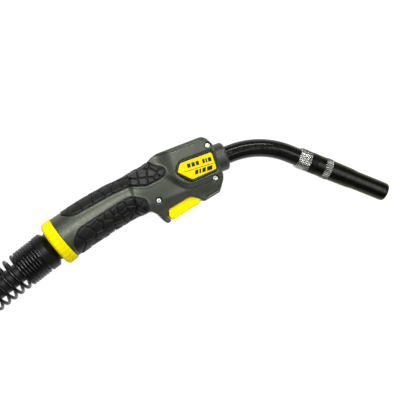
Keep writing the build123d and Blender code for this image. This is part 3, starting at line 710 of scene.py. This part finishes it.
# along X, height of the middle, half height, half width
GRIP_STATIONS = [
    (-141.0, 36.6, 23.5, 23.5),
    (-126.0, 38.1, 23.0, 21.6),
    (-112.0, 39.0, 22.9, 20.6),
    (-84.0, 39.8, 22.1, 19.4),
    (-58.0, 39.1, 21.2, 19.2),
    (-34.0, 38.6, 20.4, 18.0),
    (-12.0, 38.0, 18.0, 15.0),
]
GRIP_FRONT = -16.0
GRIP_BACK = -6.9
HEAD_OUTLINE = rounded([
    (-52, 57.6), (-36, 58.0), (-30.5, 60.0), (-24.2, 63.6), (-18, 64.3), (30.5, 57.2), (34.8, 53.4),
    (37.8, 44.5), (32.4, 12.6), (30.4, 7.8), (25.4, 2.2), (20.8, -2.4), (2.2, -2.7), (0.4, -1.2),
    (0.2, 1.0), (-7.0, 8.0), (-9.8, 9.2), (-33.8, 8.6), (-37.2, 5.6), (-38.4, 2.0),
    (-37.1, -2.8), (-41.6, -3.8), (-43.6, -0.4), (-46.4, 9.8), (-50.8, 16.2), (-59.0, 19.0),
], 1.3)
# height over the neck's axis and half width, below and beside the raised platform
HEAD_LOW = [(-40.0, 12.6), (-30.0, 14.6), (-20.2, 18.0), (60.0, 18.0)]
PLATFORM_OUTLINE = rounded([
    (-60, 40.0), (-26, 38.0), (-19.4, 33.0), (-16.6, 27.0), (-9.4, 17.6), (-3.0, 14.6), (18.0, 11.4), (60, 5),
    (60, 90), (-60, 90),
], 5.0)
PLATFORM_HALF = 23.2
PLATFORM_SLOPE = 6.5
PLATFORM_BACK, PLATFORM_FULL = -27.0, -7.0
TOP_EDGE, TOP_SLOPE = 24.1, 1.8
SEAM_RISE, SEAM_DEPTH, SEAM_WIDTH = 22.9, 0.9, 0.8
RIM_SEAM_IN = 2.4
UPPER_OUTLINE = rounded([
    (-134, 66), (-131, 57.5), (-124, 52.8), (-118, 51.5), (-80, 51.3), (-58, 49.4),
    (-42, 40.2), (-24.6, 39.8), (-18.8, 43.0), (-18.2, 48.0), (-26.9, 56.5), (-31, 66),
], 3.0)
LOWER_OUTLINE = rounded([
    (-133, 8), (-134.5, 25), (-131, 30), (-122, 37), (-88, 39), (-66.5, 40), (-61, 38.5),
    (-50.7, 30.3), (-50, 25), (-53, 14),
], 3.0)
INLAY_SUNK, INLAY_RIM, INLAY_PROUD = 1.3, 0.15, 0.6
CELL_GROOVE = 0.95
# where the soft grip's cells have their middles, from the side; both sides have the same
UPPER_CELLS = [
    (-128, 60), (-117, 56), (-103, 57), (-90, 54.5), (-79, 57), (-69, 53.5), (-59.2, 53.6), (-52.2, 48.6),
    (-43.1, 44.9), (-48.5, 53.5), (-40.6, 51.6), (-34.9, 42.0), (-29.3, 41.6), (-31.4, 47.4), (-22.9, 43.4),
    (-20.6, 49.8), (-25.9, 50.6), (-33.4, 55.2),
]
UPPER_CREST = [-121, -106, -92, -78, -66, -55, -45, -36]
LOWER_CELLS = [
    (-130.6, 22.0), (-116.5, 28.0), (-104.8, 31.8), (-93.4, 26.6), (-107.0, 37.6), (-97.9, 37.0),
    (-89.9, 34.6), (-82.2, 36.2), (-76.2, 34.4), (-74.8, 29.3), (-64.2, 34.2), (-57.0, 31.6),
    (-54.2, 26.2), (-106.0, 19.4), (-93.9, 17.8), (-82.0, 26.4), (-73.4, 24.2), (-66.4, 28.4),
    (-60.5, 23.6), (-120.0, 18.0), (-84.2, 20.0), (-67.0, 20.4), (-57.0, 19.4),
]
LOWER_CREST = [-127, -113, -100, -89, -78, -69, -61]


def grip_at(x):
    """Height of the grip's middle, its half height and its half width at a place along X."""
    return [through(x, GRIP_STATIONS, column) for column in (1, 2, 3)]


def grip_form(x, y, z):
    """The grip's rounded bar, from its rear face to where the head has swallowed it."""
    middle, tall, wide = grip_at(x)
    bar = (np.sqrt(((y - middle) / tall) ** 2 + (z / wide) ** 2) - 1.0) * np.minimum(tall, wide)
    return np.maximum(smooth_max(bar, x - GRIP_FRONT, 3.0), REAR.along(x, y) - GRIP_BACK)


def head_half_width(x, y, inner):
    """How far the head reaches to each side; inner is the depth inside its side outline."""
    rise = NECK.over(x, y)
    heights, widths = zip(*HEAD_LOW)
    low = sum(np.interp(rise + shift, heights, widths) for shift in (-0.8, 0.0, 0.8)) / 3.0
    raised = ramp(-outline_distance(x, y, PLATFORM_OUTLINE), 0.0, PLATFORM_SLOPE)
    raised = raised * ramp(x - 0.2 * (y - 38.0), PLATFORM_BACK, PLATFORM_FULL)
    wide = low + (PLATFORM_HALF - low) * raised
    bevel = PLATFORM_HALF - TOP_SLOPE * (rise - TOP_EDGE)
    wide = smooth_min(wide, bevel, 0.8)
    edge = 19.4 + 1.05 * inner + 4.0 * ramp(-x, 2.0, 14.0)
    wide = smooth_min(wide, edge, 0.8)
    on_top = ramp(x, -24.0, -14.0)
    wide = wide - SEAM_DEPTH * on_top * ridge(rise - SEAM_RISE, SEAM_WIDTH)
    below = ramp(-rise, 26.0, 28.0) * ramp(x, 4.0, 7.0)
    return wide - SEAM_DEPTH * below * ridge(inner - RIM_SEAM_IN, SEAM_WIDTH)


def head_form(x, y, z):
    side = outline_distance(x, y, HEAD_OUTLINE)
    wide = head_half_width(x, y, -side)
    return smooth_max(side, 0.94 * (np.abs(z) - wide), 1.8)


def handle_form(x, y, z):
    return smooth_min(grip_form(x, y, z), head_form(x, y, z), 7.0)


BEZEL_OUTLINE = rounded([
    (-0.2, 45.9), (32.3, 41.2), (34.4, 38.2), (30.8, 21.6), (26.9, 18.6), (0.4, 21.1), (-2.8, 23.3),
    (-10.9, 37.2), (-6.5, 42.8),
], 0.9)
PLATE_OUTLINE = rounded([
    (-0.7, 43.9), (31.0, 38.4), (31.7, 36.3), (28.4, 21.1), (27.1, 20.4), (2.2, 23.0), (0.1, 24.2),
    (-8.9, 37.1), (-2.8, 43.5),
], 0.7)
PLATE_BED = 0.6
BEZEL_TOP, PLATE_TOP = 24.3, 24.5
TRIGGER_WELL = [
    (1.6, -6), (1.6, 2.2), (-0.4, 16.4), (-35.8, 13.8), (-38.6, 5.4), (-38.3, 2.0), (-37.4, -1.0),
    (-36.9, -6),
]
WELL_HALF = 12.1
# each screw's place from the side and the height that its head is seated at
SCREWS = [(32.3, 45.6, 17.6), (23.1, 12.8, 15.6), (-38.6, 21.4, 12.2)]
SCREW_SLOTS = (0.45, 0.95, 0.45)  # half of each cross slot's width
RECESS_R, SCREW_HEAD_R, SCREW_HEAD_H, BOSS_R, SCREW_BORE_R = 3.6, 2.75, 2.4, 4.8, 1.55
# the ball's seat, the spigot that carries the locking ring and the cable's passage: their radii, how
# far forward of the ball's middle the solid round the seat and the passage reach, and how far back
# the spigot does
SEAT_R, SPIGOT_R, PASSAGE_R = 18.3, 19.9, 13.2
SEAT_DEPTH, PASSAGE_DEPTH, SPIGOT_BACK = 21.0, 30.0, 2.0
# the neck's two bores: their radii and how far back from the neck's start they reach
COLLAR_BORE_R, COLLAR_BORE_BACK = 13.1, 8.1
NECK_BORE_R, NECK_BORE_BACK = 9.6, 46.0
PIN_BORE_R, PIN_BORE_TOP = 1.55, 13.6


def inlay_distance(x, y):
    return np.minimum(outline_distance(x, y, UPPER_OUTLINE), outline_distance(x, y, LOWER_OUTLINE))


def shell_form(x, y, z):
    """The left handle shell."""
    skin = handle_form(x, y, z)
    inlay = inlay_distance(x, y)
    surface_lip = skin - 0.3 * ridge(inlay - 1.5, 0.8)
    hollow = skin + WALL
    for sx, sy, _ in SCREWS:
        hollow = np.maximum(hollow, BOSS_R - np.hypot(x - sx, y - sy))
    back = REAR.along(x, y)
    from_rear_axis = np.hypot(REAR.over(x, y), z)
    hollow = np.maximum(hollow, back + SEAT_DEPTH)
    spigot = np.maximum(np.maximum(from_rear_axis - SPIGOT_R, back - SPIGOT_BACK), GRIP_BACK - 1.0 - back)
    shell = np.minimum(np.maximum(surface_lip, -hollow), spigot)
    ball = np.sqrt(from_rear_axis**2 + back**2) - SEAT_R
    shell = np.maximum(shell, -ball)
    shell = np.maximum(shell, -np.maximum(from_rear_axis - PASSAGE_R, -PASSAGE_DEPTH - back))
    shell = np.maximum(shell, -np.maximum(inlay - 0.45, -(skin + INLAY_SUNK)))
    well = smooth_max(outline_distance(x, y, TRIGGER_WELL), np.abs(z) - WELL_HALF, 0.6)
    shell = smooth_max(shell, -well, 0.5)
    forward = NECK.along(x, y)
    from_neck = np.hypot(NECK.over(x, y), z)
    for radius, reach in ((COLLAR_BORE_R, COLLAR_BORE_BACK), (NECK_BORE_R, NECK_BORE_BACK)):
        shell = np.maximum(shell, -np.maximum(from_neck - radius, -reach - forward))
    pocket = np.maximum(outline_distance(x, y, BEZEL_OUTLINE) - 0.25, PLATFORM_HALF - PLATE_BED - z)
    shell = np.maximum(shell, -pocket)
    for sx, sy, seat in SCREWS:
        from_screw = np.hypot(x - sx, y - sy)
        sink = smooth_max(from_screw - RECESS_R, seat - z, 0.4)
        shell = smooth_max(shell, -sink, 0.4)
        shell = np.maximum(shell, SCREW_BORE_R - from_screw)
    pin = np.hypot(x - PIVOT[0], y - PIVOT[1])
    shell = np.maximum(shell, -np.maximum(pin - PIN_BORE_R, z - PIN_BORE_TOP))
    return np.maximum(shell, SPLIT - z)


BATCH = 40000  # as many points at a time as keep the table of distances small


def cell_seeds(cells, crest, up):
    """Seeds on the grip's surface: the named cells on both sides and a row along the crest."""
    seeds = []
    for x, y in cells:
        middle, tall, wide = grip_at(x)
        reach = max(0.05, 1.0 - ((y - middle) / tall) ** 2)
        z = wide * math.sqrt(reach)
        seeds += [(x, y, z), (x + 1.5, y, -z)]
    for number, x in enumerate(crest):
        middle, tall, _ = grip_at(x)
        seeds.append((x, middle + up * tall, 4.0 if number % 2 else -4.0))
    return np.array(seeds, float)


def cell_relief(points, seeds):
    """Height of the cells' pattern: flat tops that tilt a little, with a groove between them."""
    away = ((points[:, None, :] - seeds[None]) ** 2).sum(axis=2)
    nearest = away.argmin(axis=1)
    best = away[np.arange(len(points)), nearest]
    between = np.linalg.norm(seeds[None] - seeds[:, None], axis=2)[nearest]
    border = (away - best[:, None]) / np.maximum(2 * between, 1e-6)
    border[np.arange(len(points)), nearest] = np.inf
    edge = border.min(axis=1)
    generator = random.Random(7)
    tilts = np.array([[generator.uniform(-1, 1) for _ in range(4)] for _ in seeds])
    lean = ((points - seeds[nearest]) * tilts[nearest][:, :3]).sum(axis=1)
    top = 0.16 * tilts[nearest][:, 3] + 0.018 * lean
    raised = (top + 0.1 * ramp(edge, 0.5, 2.4)) * ramp(edge, 0.3, 0.9)
    return raised - CELL_GROOVE * (1 - ramp(edge, 0.15, 0.85))


def inlay_form(outline, seeds):
    """One side's soft inlay: a skin over the handle's surface, with cells and grooves in it."""

    def form(x, y, z):
        skin = handle_form(x, y, z)
        inside = outline_distance(x, y, outline)
        x, y, z, inside = np.broadcast_arrays(x, y, z, inside)
        proud = np.zeros(skin.shape)
        near = (np.abs(skin) < 2.6) & (inside < 1.0) & (z > -1.0)
        points = np.stack([axis[near] for axis in (x, y, z)], axis=1)
        found = np.empty(len(points))
        for start in range(0, len(points), BATCH):
            part = slice(start, start + BATCH)
            found[part] = cell_relief(points[part], seeds)
        proud[near] = found
        rim = ramp(-inside, 0.2, 2.2)
        height = INLAY_RIM + INLAY_PROUD * rim + proud * rim
        slab = np.maximum(skin - height, -(skin + INLAY_SUNK - 0.05))
        return np.maximum(np.maximum(slab, inside + 0.35), SPLIT - z)

    return form


def make_handle():
    """Both shells and the four soft inlays."""
    both_sides("shell", shell_form, (-152, -8, -2), (44, 68, 26), 0.6, "shell", "handle_plastic",
               "handle_shell")
    for name, outline, cells, crest, up, low, high in (
        ("upper", UPPER_OUTLINE, UPPER_CELLS, UPPER_CREST, 1, (-136, 36, -1.5), (-13, 66, 25)),
        ("lower", LOWER_OUTLINE, LOWER_CELLS, LOWER_CREST, -1, (-137, 13, -1.5), (-47, 42, 25)),
    ):
        form = inlay_form(outline, cell_seeds(cells, crest, up))
        both_sides(f"soft_grip_{name}", form, low, high, 0.5, "grip", "soft_grip", f"{name}_inlay", 70.0)


def bezel_form(x, y, z):
    outer, inner = outline_distance(x, y, BEZEL_OUTLINE), outline_distance(x, y, PLATE_OUTLINE)
    middle = 0.5 * (outer - inner)
    top = BEZEL_TOP - 0.35 * ridge(middle + 0.2, 0.45)
    edge = smooth_max(smooth_max(outer, -(inner + 0.15), 0.2), z - top, 0.9)
    bed = np.maximum(outer, z - PLATFORM_HALF - 0.1)
    return np.maximum(np.minimum(edge, bed), PLATFORM_HALF - PLATE_BED + 0.05 - z)


def plate_form(x, y, z):
    face = smooth_max(outline_distance(x, y, PLATE_OUTLINE) + 0.25, z - PLATE_TOP, 0.7)
    return np.maximum(face, PLATFORM_HALF + 0.15 - z)


PLATE_ALONG = heading(-12.6)
PLATE_ACROSS = heading(77.4)
# where each bar of the upper and the lower row starts along the plate, and its length
TICKS = [(-5.4, 3.4), (-0.8, 3.4), (3.8, 3.2), (10.8, 2.4), (14.2, 1.6), (16.8, 3.4)]
BANDS = [(-0.2, 3.4), (4.4, 1.8), (7.6, 3.6), (12.6, 5.6)]


def plate_mark(along, across, length, tall, lean=0.0):
    """A slanted bar on the nameplate, by the place of its left end in the plate's own directions."""
    corners = [(0, 0), (length, 0), (length + lean, tall), (lean, tall)]
    start = along * PLATE_ALONG + across * PLATE_ACROSS
    return [start + a * PLATE_ALONG + b * PLATE_ACROSS for a, b in corners]


def make_marks():
    """Plain bars in place of lettering: a row of blocks, a thin line and a bold slanted band."""
    bars = [plate_mark(-10.0, 32.4, 32.0, 0.5)]
    bars += [plate_mark(start, 35.4, length, 4.2, 0.3) for start, length in TICKS]
    bars += [plate_mark(start, 26.9, length, 4.2, 1.4) for start, length in BANDS]
    points, faces = [], []
    for bar in bars:
        base = len(points)
        for height in (PLATE_TOP - 0.2, PLATE_TOP + 0.08):
            points += [corner + (0, 0, height) for corner in bar]
        faces += [(base, base + 3, base + 2, base + 1), (base + 4, base + 5, base + 6, base + 7)]
        faces += [(base + k, base + (k + 1) % 4, base + 4 + (k + 1) % 4, base + 4 + k) for k in range(4)]
    mesh = mesh_of("plate_marks_left", points, faces, 20.0)
    left = piece("plate_marks_left", mesh, "marks", "handle", "plate_yellow")
    mirrored("plate_marks_right", left, "marks")


def make_nameplates():
    low, high = (-10, 16, 22), (40, 49, 26)
    both_sides("bezel_ring", bezel_form, low, high, 0.35, "bezel", "bezel_plastic", "bezel")
    both_sides("plate", plate_form, low, high, 0.4, "plate", "plate_yellow", "nameplate")
    make_marks()


def screw_form(seat, turn, slot):
    """A pan-head screw with a cross slot, along Z, with its origin on the middle plane."""
    cos, sin = math.cos(turn), math.sin(turn)

    def form(x, y, z):
        out = np.hypot(x, y)
        dome = seat + SCREW_HEAD_H - 0.5 * (out / SCREW_HEAD_R) ** 2
        head = smooth_max(smooth_max(out - SCREW_HEAD_R, z - dome, 0.7), seat - z, 0.2)
        u, v = np.abs(cos * x + sin * y), np.abs(cos * y - sin * x)
        depth = seat + SCREW_HEAD_H - 1.6 + 0.5 * out
        cross = np.minimum(np.maximum(u - 1.7, v - slot), np.maximum(v - 1.7, u - slot))
        head = np.maximum(head, -np.maximum(cross, depth - z))
        shank = np.maximum(out - 1.5, z - seat - 0.3)
        return np.maximum(np.minimum(head, shank), SPLIT - z)

    return form


def make_screw(name, origin, body, node, seat, turn, slot, foot, step):
    """A screw that stands upright, from its foot to its head; node is the CAD node it stands in for."""
    low, high = (-3.4, -3.4, foot), (3.4, 3.4, seat + SCREW_HEAD_H + 0.8)
    solid(name, screw_form(seat, turn, slot), low, high, step, "screw", body, "screw_steel", node,
          upright(origin), 35.0)


def make_shell_screws():
    for number, (x, y, seat) in enumerate(SCREWS):
        make_screw(f"shell_screw_{number + 1}", (x, y, 0.0), "handle", () if number else ["shell_screws"],
                   seat, 0.5 + 0.7 * number, SCREW_SLOTS[number], -0.6, 0.2)


TRIGGER_OUTLINE = rounded([
    (0.0, 1.4), (-1.2, 4.6), (-1.2, 15.4), (-8.2, 15.4), (-9.2, 12.75), (-30.0, 10.6), (-34.6, 8.4),
    (-37.3, 2.0), (-36.2, -2.6), (-33.2, -3.4), (-12.6, -2.0), (-4.0, -2.4), (-1.2, -0.8),
], 0.9)
TRIGGER_HALF = 11.5
# the slot for the return spring, from the side
SPRING_SLOT = [(-0.6, 8.6), (-0.6, 17.0), (-16.0, 17.0), (-16.0, 8.6)]


def trigger_form(x, y, z):
    """The trigger, with rounded edges and shallow finger ribs across its sole."""
    side = outline_distance(x, y, TRIGGER_OUTLINE)
    lever = smooth_max(side, np.abs(z) - TRIGGER_HALF, 1.6)
    ribs = 0.3 * ridge(np.mod(x + 30.0, 3.4) - 1.7, 0.6) * ramp(-x, 7.0, 9.0) * ramp(x, -31.0, -29.0)
    lever = lever + ribs * ramp(-y, -1.0, 1.0) * ramp(-np.abs(z), -9.0, -8.0)
    slot = np.maximum(outline_distance(x, y, SPRING_SLOT), np.abs(z) - 4.0)
    bore = np.hypot(x - PIVOT[0], y - PIVOT[1]) - 1.6
    return np.maximum(np.maximum(lever, -slot), -bore)


def make_trigger():
    solid("trigger_lever", trigger_form, (-39, -5, -12.5), (2, 17, 12.5), 0.5, "yellow", "trigger",
          "yellow_plastic", ["trigger"])


# ---- neck and nose


def make_collar():
    """The plain collar that the neck leaves the handle through."""
    outline = [
        (9.55, -8.0), (13.0, -8.0), (13.0, -2.18), (15.0, -2.18), (15.0, 7.6), (13.4, 9.5), (9.55, 9.5),
    ]
    turned("collar", NECK, dense(rounded(outline, 0.3), 1.2), "collar", "handle", "handle_plastic",
           ["neck_collar"])


def zigzag(value):
    """1 at whole numbers, falling straight to 0 halfway between them."""
    return np.abs(np.mod(value, 1.0) - 0.5) * 2


def knurl(angle, distance, count, pitch):
    """Crossed diagonal grooves: 1 on the points and 0 in the grooves."""
    turns = angle * count / (2 * math.pi)
    return np.minimum(zigzag(turns + distance / pitch), zigzag(turns - distance / pitch))


def make_sleeve():
    """The knurled chrome sleeve at the neck's end."""
    outline = [(9.55, 0), (10.7, 0), (11.3, 0.7), (11.3, 13.3), (10.7, 14), (9.55, 14)]

    def bump(angle, radius, distance):
        middle = ramp(radius, 11.1, 11.25)
        wobble = 0.12 * np.sin(3 * angle + 0.9 * distance) * np.sin(5 * angle - 0.5 * distance)
        return middle * (0.05 - 0.6 * (1 - knurl(angle, distance, 28, 3.2)) + wobble)

    turned("neck_sleeve_chrome", NOSE, dense(outline, 0.3), "sleeve", "handle", "sleeve_chrome",
           ["neck_sleeve"], around=320, bump=bump, crease=80.0)


def make_nozzle():
    """The gas nozzle, with turning marks, a step down and a rolled mouth, and its ribbed band."""
    outline = [
        (9.7, 21.3), (10.7, 21.3), (11.0, 21.7), (11.0, 30.3), (10.9, 37.6),
        (10.75, 52.0), (10.6, 61.5), (9.95, 67.5), (9.9, 69.0), (9.9, 101.5), (9.6, 103.6), (8.9, 104.8),
        (8.5, 105.0), (8.2, 104.6), (8.2, 70.0), (9.7, 61.5),
    ]

    def marks(angle, radius, distance):
        return 0.014 * np.sin(2.6 * distance) * ramp(radius, 9.75, 9.85)

    turned("nozzle_tube", NOSE, dense(outline, 0.55), "nozzle", "nozzle", "nozzle_chrome",
           ["gas_nozzle"], around=216, bump=marks, crease=60.0)
    band = [(10.7, 30.4), (11.2, 30.4), (11.45, 30.8), (11.45, 37.1), (11.2, 37.5), (10.7, 37.5)]

    def ribs(angle, radius, distance):
        across = zigzag(angle * 34 / (2 * math.pi))
        return -0.5 * ramp(radius, 11.15, 11.4) * (1 - ramp(across, 0.2, 0.65))

    turned("nozzle_band", NOSE, dense(band, 0.4), "sleeve", "nozzle", "nozzle_chrome", around=340,
           bump=ribs, crease=60.0)


# ---- rear end


def make_ring():
    """The locking ring, with fine grooves along its grip."""
    outline = [
        (20.05, -6.6), (23.7, -6.6), (24.5, -5.6), (24.5, 3.5), (22.4, 5.45), (15.4, 5.45), (15.4, 2.35),
        (18.0, 2.35), (18.4, 1.6), (20.05, 1.6),
    ]
    count = 26

    def bump(angle, radius, distance):
        side = ramp(radius, 22.6, 24.0)
        groove = ridge(np.mod(angle * count / (2 * math.pi), 1.0) - 0.5, 0.07)
        return -0.6 * side * groove

    turned("locking_ring_grip", REAR, dense(rounded(outline, 0.5), 0.8), "yellow", "locking_ring",
           "yellow_plastic", ["locking_ring"], around=count * 20, bump=bump, crease=60.0)


def make_cuff():
    """The swivelling cuff of the cable support, with its ball and the core of its spring."""
    ball = [(18.0 * math.cos(t), 18.0 * math.sin(t)) for t in np.linspace(-0.33, 0.56, 9)]
    outline = [
        (10.95, -5.8), *ball, (15.1, 10.2), (15.1, 9.4), (18.2, 11.4), (19.6, 12.6), (19.6, 20.4),
        (19.0, 21.0), (16.3, 21.0), (16.3, 42.4), (15.7, 43.0), (10.95, 43.0),
    ]

    def bump(angle, radius, distance):
        return -0.3 * ramp(radius, 19.3, 19.5) * ridge(distance - 18.6, 0.3)

    turned("swivel_cuff", REAR, dense(outline, 0.8), "cuff", "cable_support", "cuff_plastic",
           ["support_cuff"], around=160, bump=bump, crease=32.0)


def make_spring():
    """The bend spring: wound close over the cuff's core, then open over the cable."""
    radius, thick = 17.8, 1.75
    close_turns, close_pitch = 7.0, 3.2
    open_turns, open_pitch = 8.5, 8.6
    per_turn = 20
    out = radius / math.cos(math.pi / per_turn)
    points = []
    for k in range(round((close_turns + open_turns) * per_turn) + 1):
        turns = k / per_turn
        opened = max(0.0, turns - close_turns)
        distance = 22.4 + close_pitch * min(turns, close_turns) + open_pitch * opened
        angle = 2 * math.pi * turns
        points.append(REAR.place(np.array((out * math.cos(angle), out * math.sin(angle), distance))))
    wire("bend_spring", points, thick, "spring", "cable_support", "spring_black", ["support_spring"])


# ---- plug


def make_boot():
    """The tapered strain relief, ribbed where it bends."""
    outline = [(10.55, 0), (12.6, 0), (13.4, 0.9), (14.9, 38), (15.0, 46), (10.55, 46)]

    def bump(angle, radius, distance):
        outside = ramp(radius, 12.4, 13.0) * ramp(-distance, -34.0, -31.0) * ramp(distance, 3.0, 5.0)
        quarter = 0.5 + 0.5 * np.cos(2 * angle)
        return -1.1 * outside * ridge(np.mod(distance, 5.0) - 2.5, 0.8) * (0.35 + 0.65 * quarter)

    turned("strain_relief", PLUG, dense(outline, 0.5), "plug", "cable", "plug_plastic", ["plug_boot"],
           around=96, bump=bump, crease=70.0)


PLUG_SCREWS = [(62.0, 12.5), (88.0, -12.5)]
PLUG_SCREW_SEAT = 11.5
PLUG_R = 20.6


def case_form(x, y, z):
    """The plug's case in its own frame: X up, Y aside and Z along it, with grip ribs."""
    out = np.hypot(x, y)
    radius = np.interp(z, [42.0, 54.0], [17.6, PLUG_R])
    ribs = ramp(z, 56.0, 58.0) * ramp(-z, -101.0, -99.0) * ridge(np.mod(z, 6.0) - 3.0, 1.2)
    side = ramp(np.abs(y), 12.0, 15.0)
    skin = smooth_max(smooth_max(out - radius + 0.7 * ribs * side, 42.2 - z, 1.6), z - 107.8, 1.6)
    inner = np.maximum(out - np.interp(z, [46.0, 50.0], [15.1, 18.1]), 42.0 - z)
    case = np.maximum(skin, -inner)
    solid_core = np.maximum(out - PLUG_R, np.maximum(54.0 - z, z - 96.0))
    for distance, aside in PLUG_SCREWS:
        away = np.hypot(y - aside, z - distance)
        case = np.minimum(case, np.maximum(away - 3.4, solid_core))
        case = smooth_max(case, -np.maximum(away - 2.8, PLUG_SCREW_SEAT - x), 0.4)
        case = np.maximum(case, 1.45 - away)
    return case


def make_plug_case():
    for half, sign in (("upper", 1), ("lower", -1)):
        low, high = ((-1, -22, 40), (22, 22, 110)) if sign > 0 else ((-22, -22, 40), (1, 22, 110))
        solid(f"plug_case_{half}", lambda x, y, z, s=sign: np.maximum(case_form(x, y, z), SPLIT - s * x),
              low, high, 0.7, "plug", "cable", "plug_plastic", [f"plug_shell_{half}"], PLUG)


def make_plug_screws():
    for number, (distance, aside) in enumerate(PLUG_SCREWS):
        make_screw(f"plug_screw_{number + 1}", PLUG.at(distance) + aside * PLUG.y, "cable",
                   () if number else ["plug_screws"], PLUG_SCREW_SEAT, 0.3 + number, 0.4, -11.8, 0.3)


def make_nut():
    """The plug's nut, with lobes to grip it by and a thread inside."""
    outline = [
        (18.15, 108.4), (22.4, 108.4), (23.7, 109.8), (23.7, 140.6), (22.6, 141.9), (21.2, 141.9),
        (20.8, 141.4), (20.8, 112.0), (18.15, 112.0),
    ]

    def bump(angle, radius, distance):
        outside = ramp(radius, 22.0, 23.4)
        lobes = ridge(np.mod(angle * 18 / (2 * math.pi), 1.0) - 0.5, 0.22)
        thread = ridge(np.mod(distance - 1.5 * angle / (2 * math.pi), 1.5) - 0.75, 0.3)
        inside = ramp(-radius, -21.0, -20.6) * ramp(radius, 20.0, 20.4) * ramp(distance, 114.0, 115.0)
        return -1.3 * outside * lobes * ramp(-distance, -139.6, -137.0) + 0.45 * inside * thread

    turned("nut_grip", PLUG, dense(outline, 0.5), "plug", "plug_nut", "plug_plastic", ["plug_nut"],
           around=216, bump=bump, crease=60.0)


# ---- all of it

set_camera()
cable = make_cable()
for tie, tie_angle in enumerate(TIE_ANGLES, 1):
    make_tie(tie, tie_angle)
set_stage()
dress_kept_nodes()
make_handle()
make_nameplates()
make_shell_screws()
make_trigger()
make_collar()
make_sleeve()
make_nozzle()
make_ring()
make_cuff()
make_spring()
make_boot()
make_plug_case()
make_plug_screws()
make_nut()
tuple(row(REAR.at(6.0)))
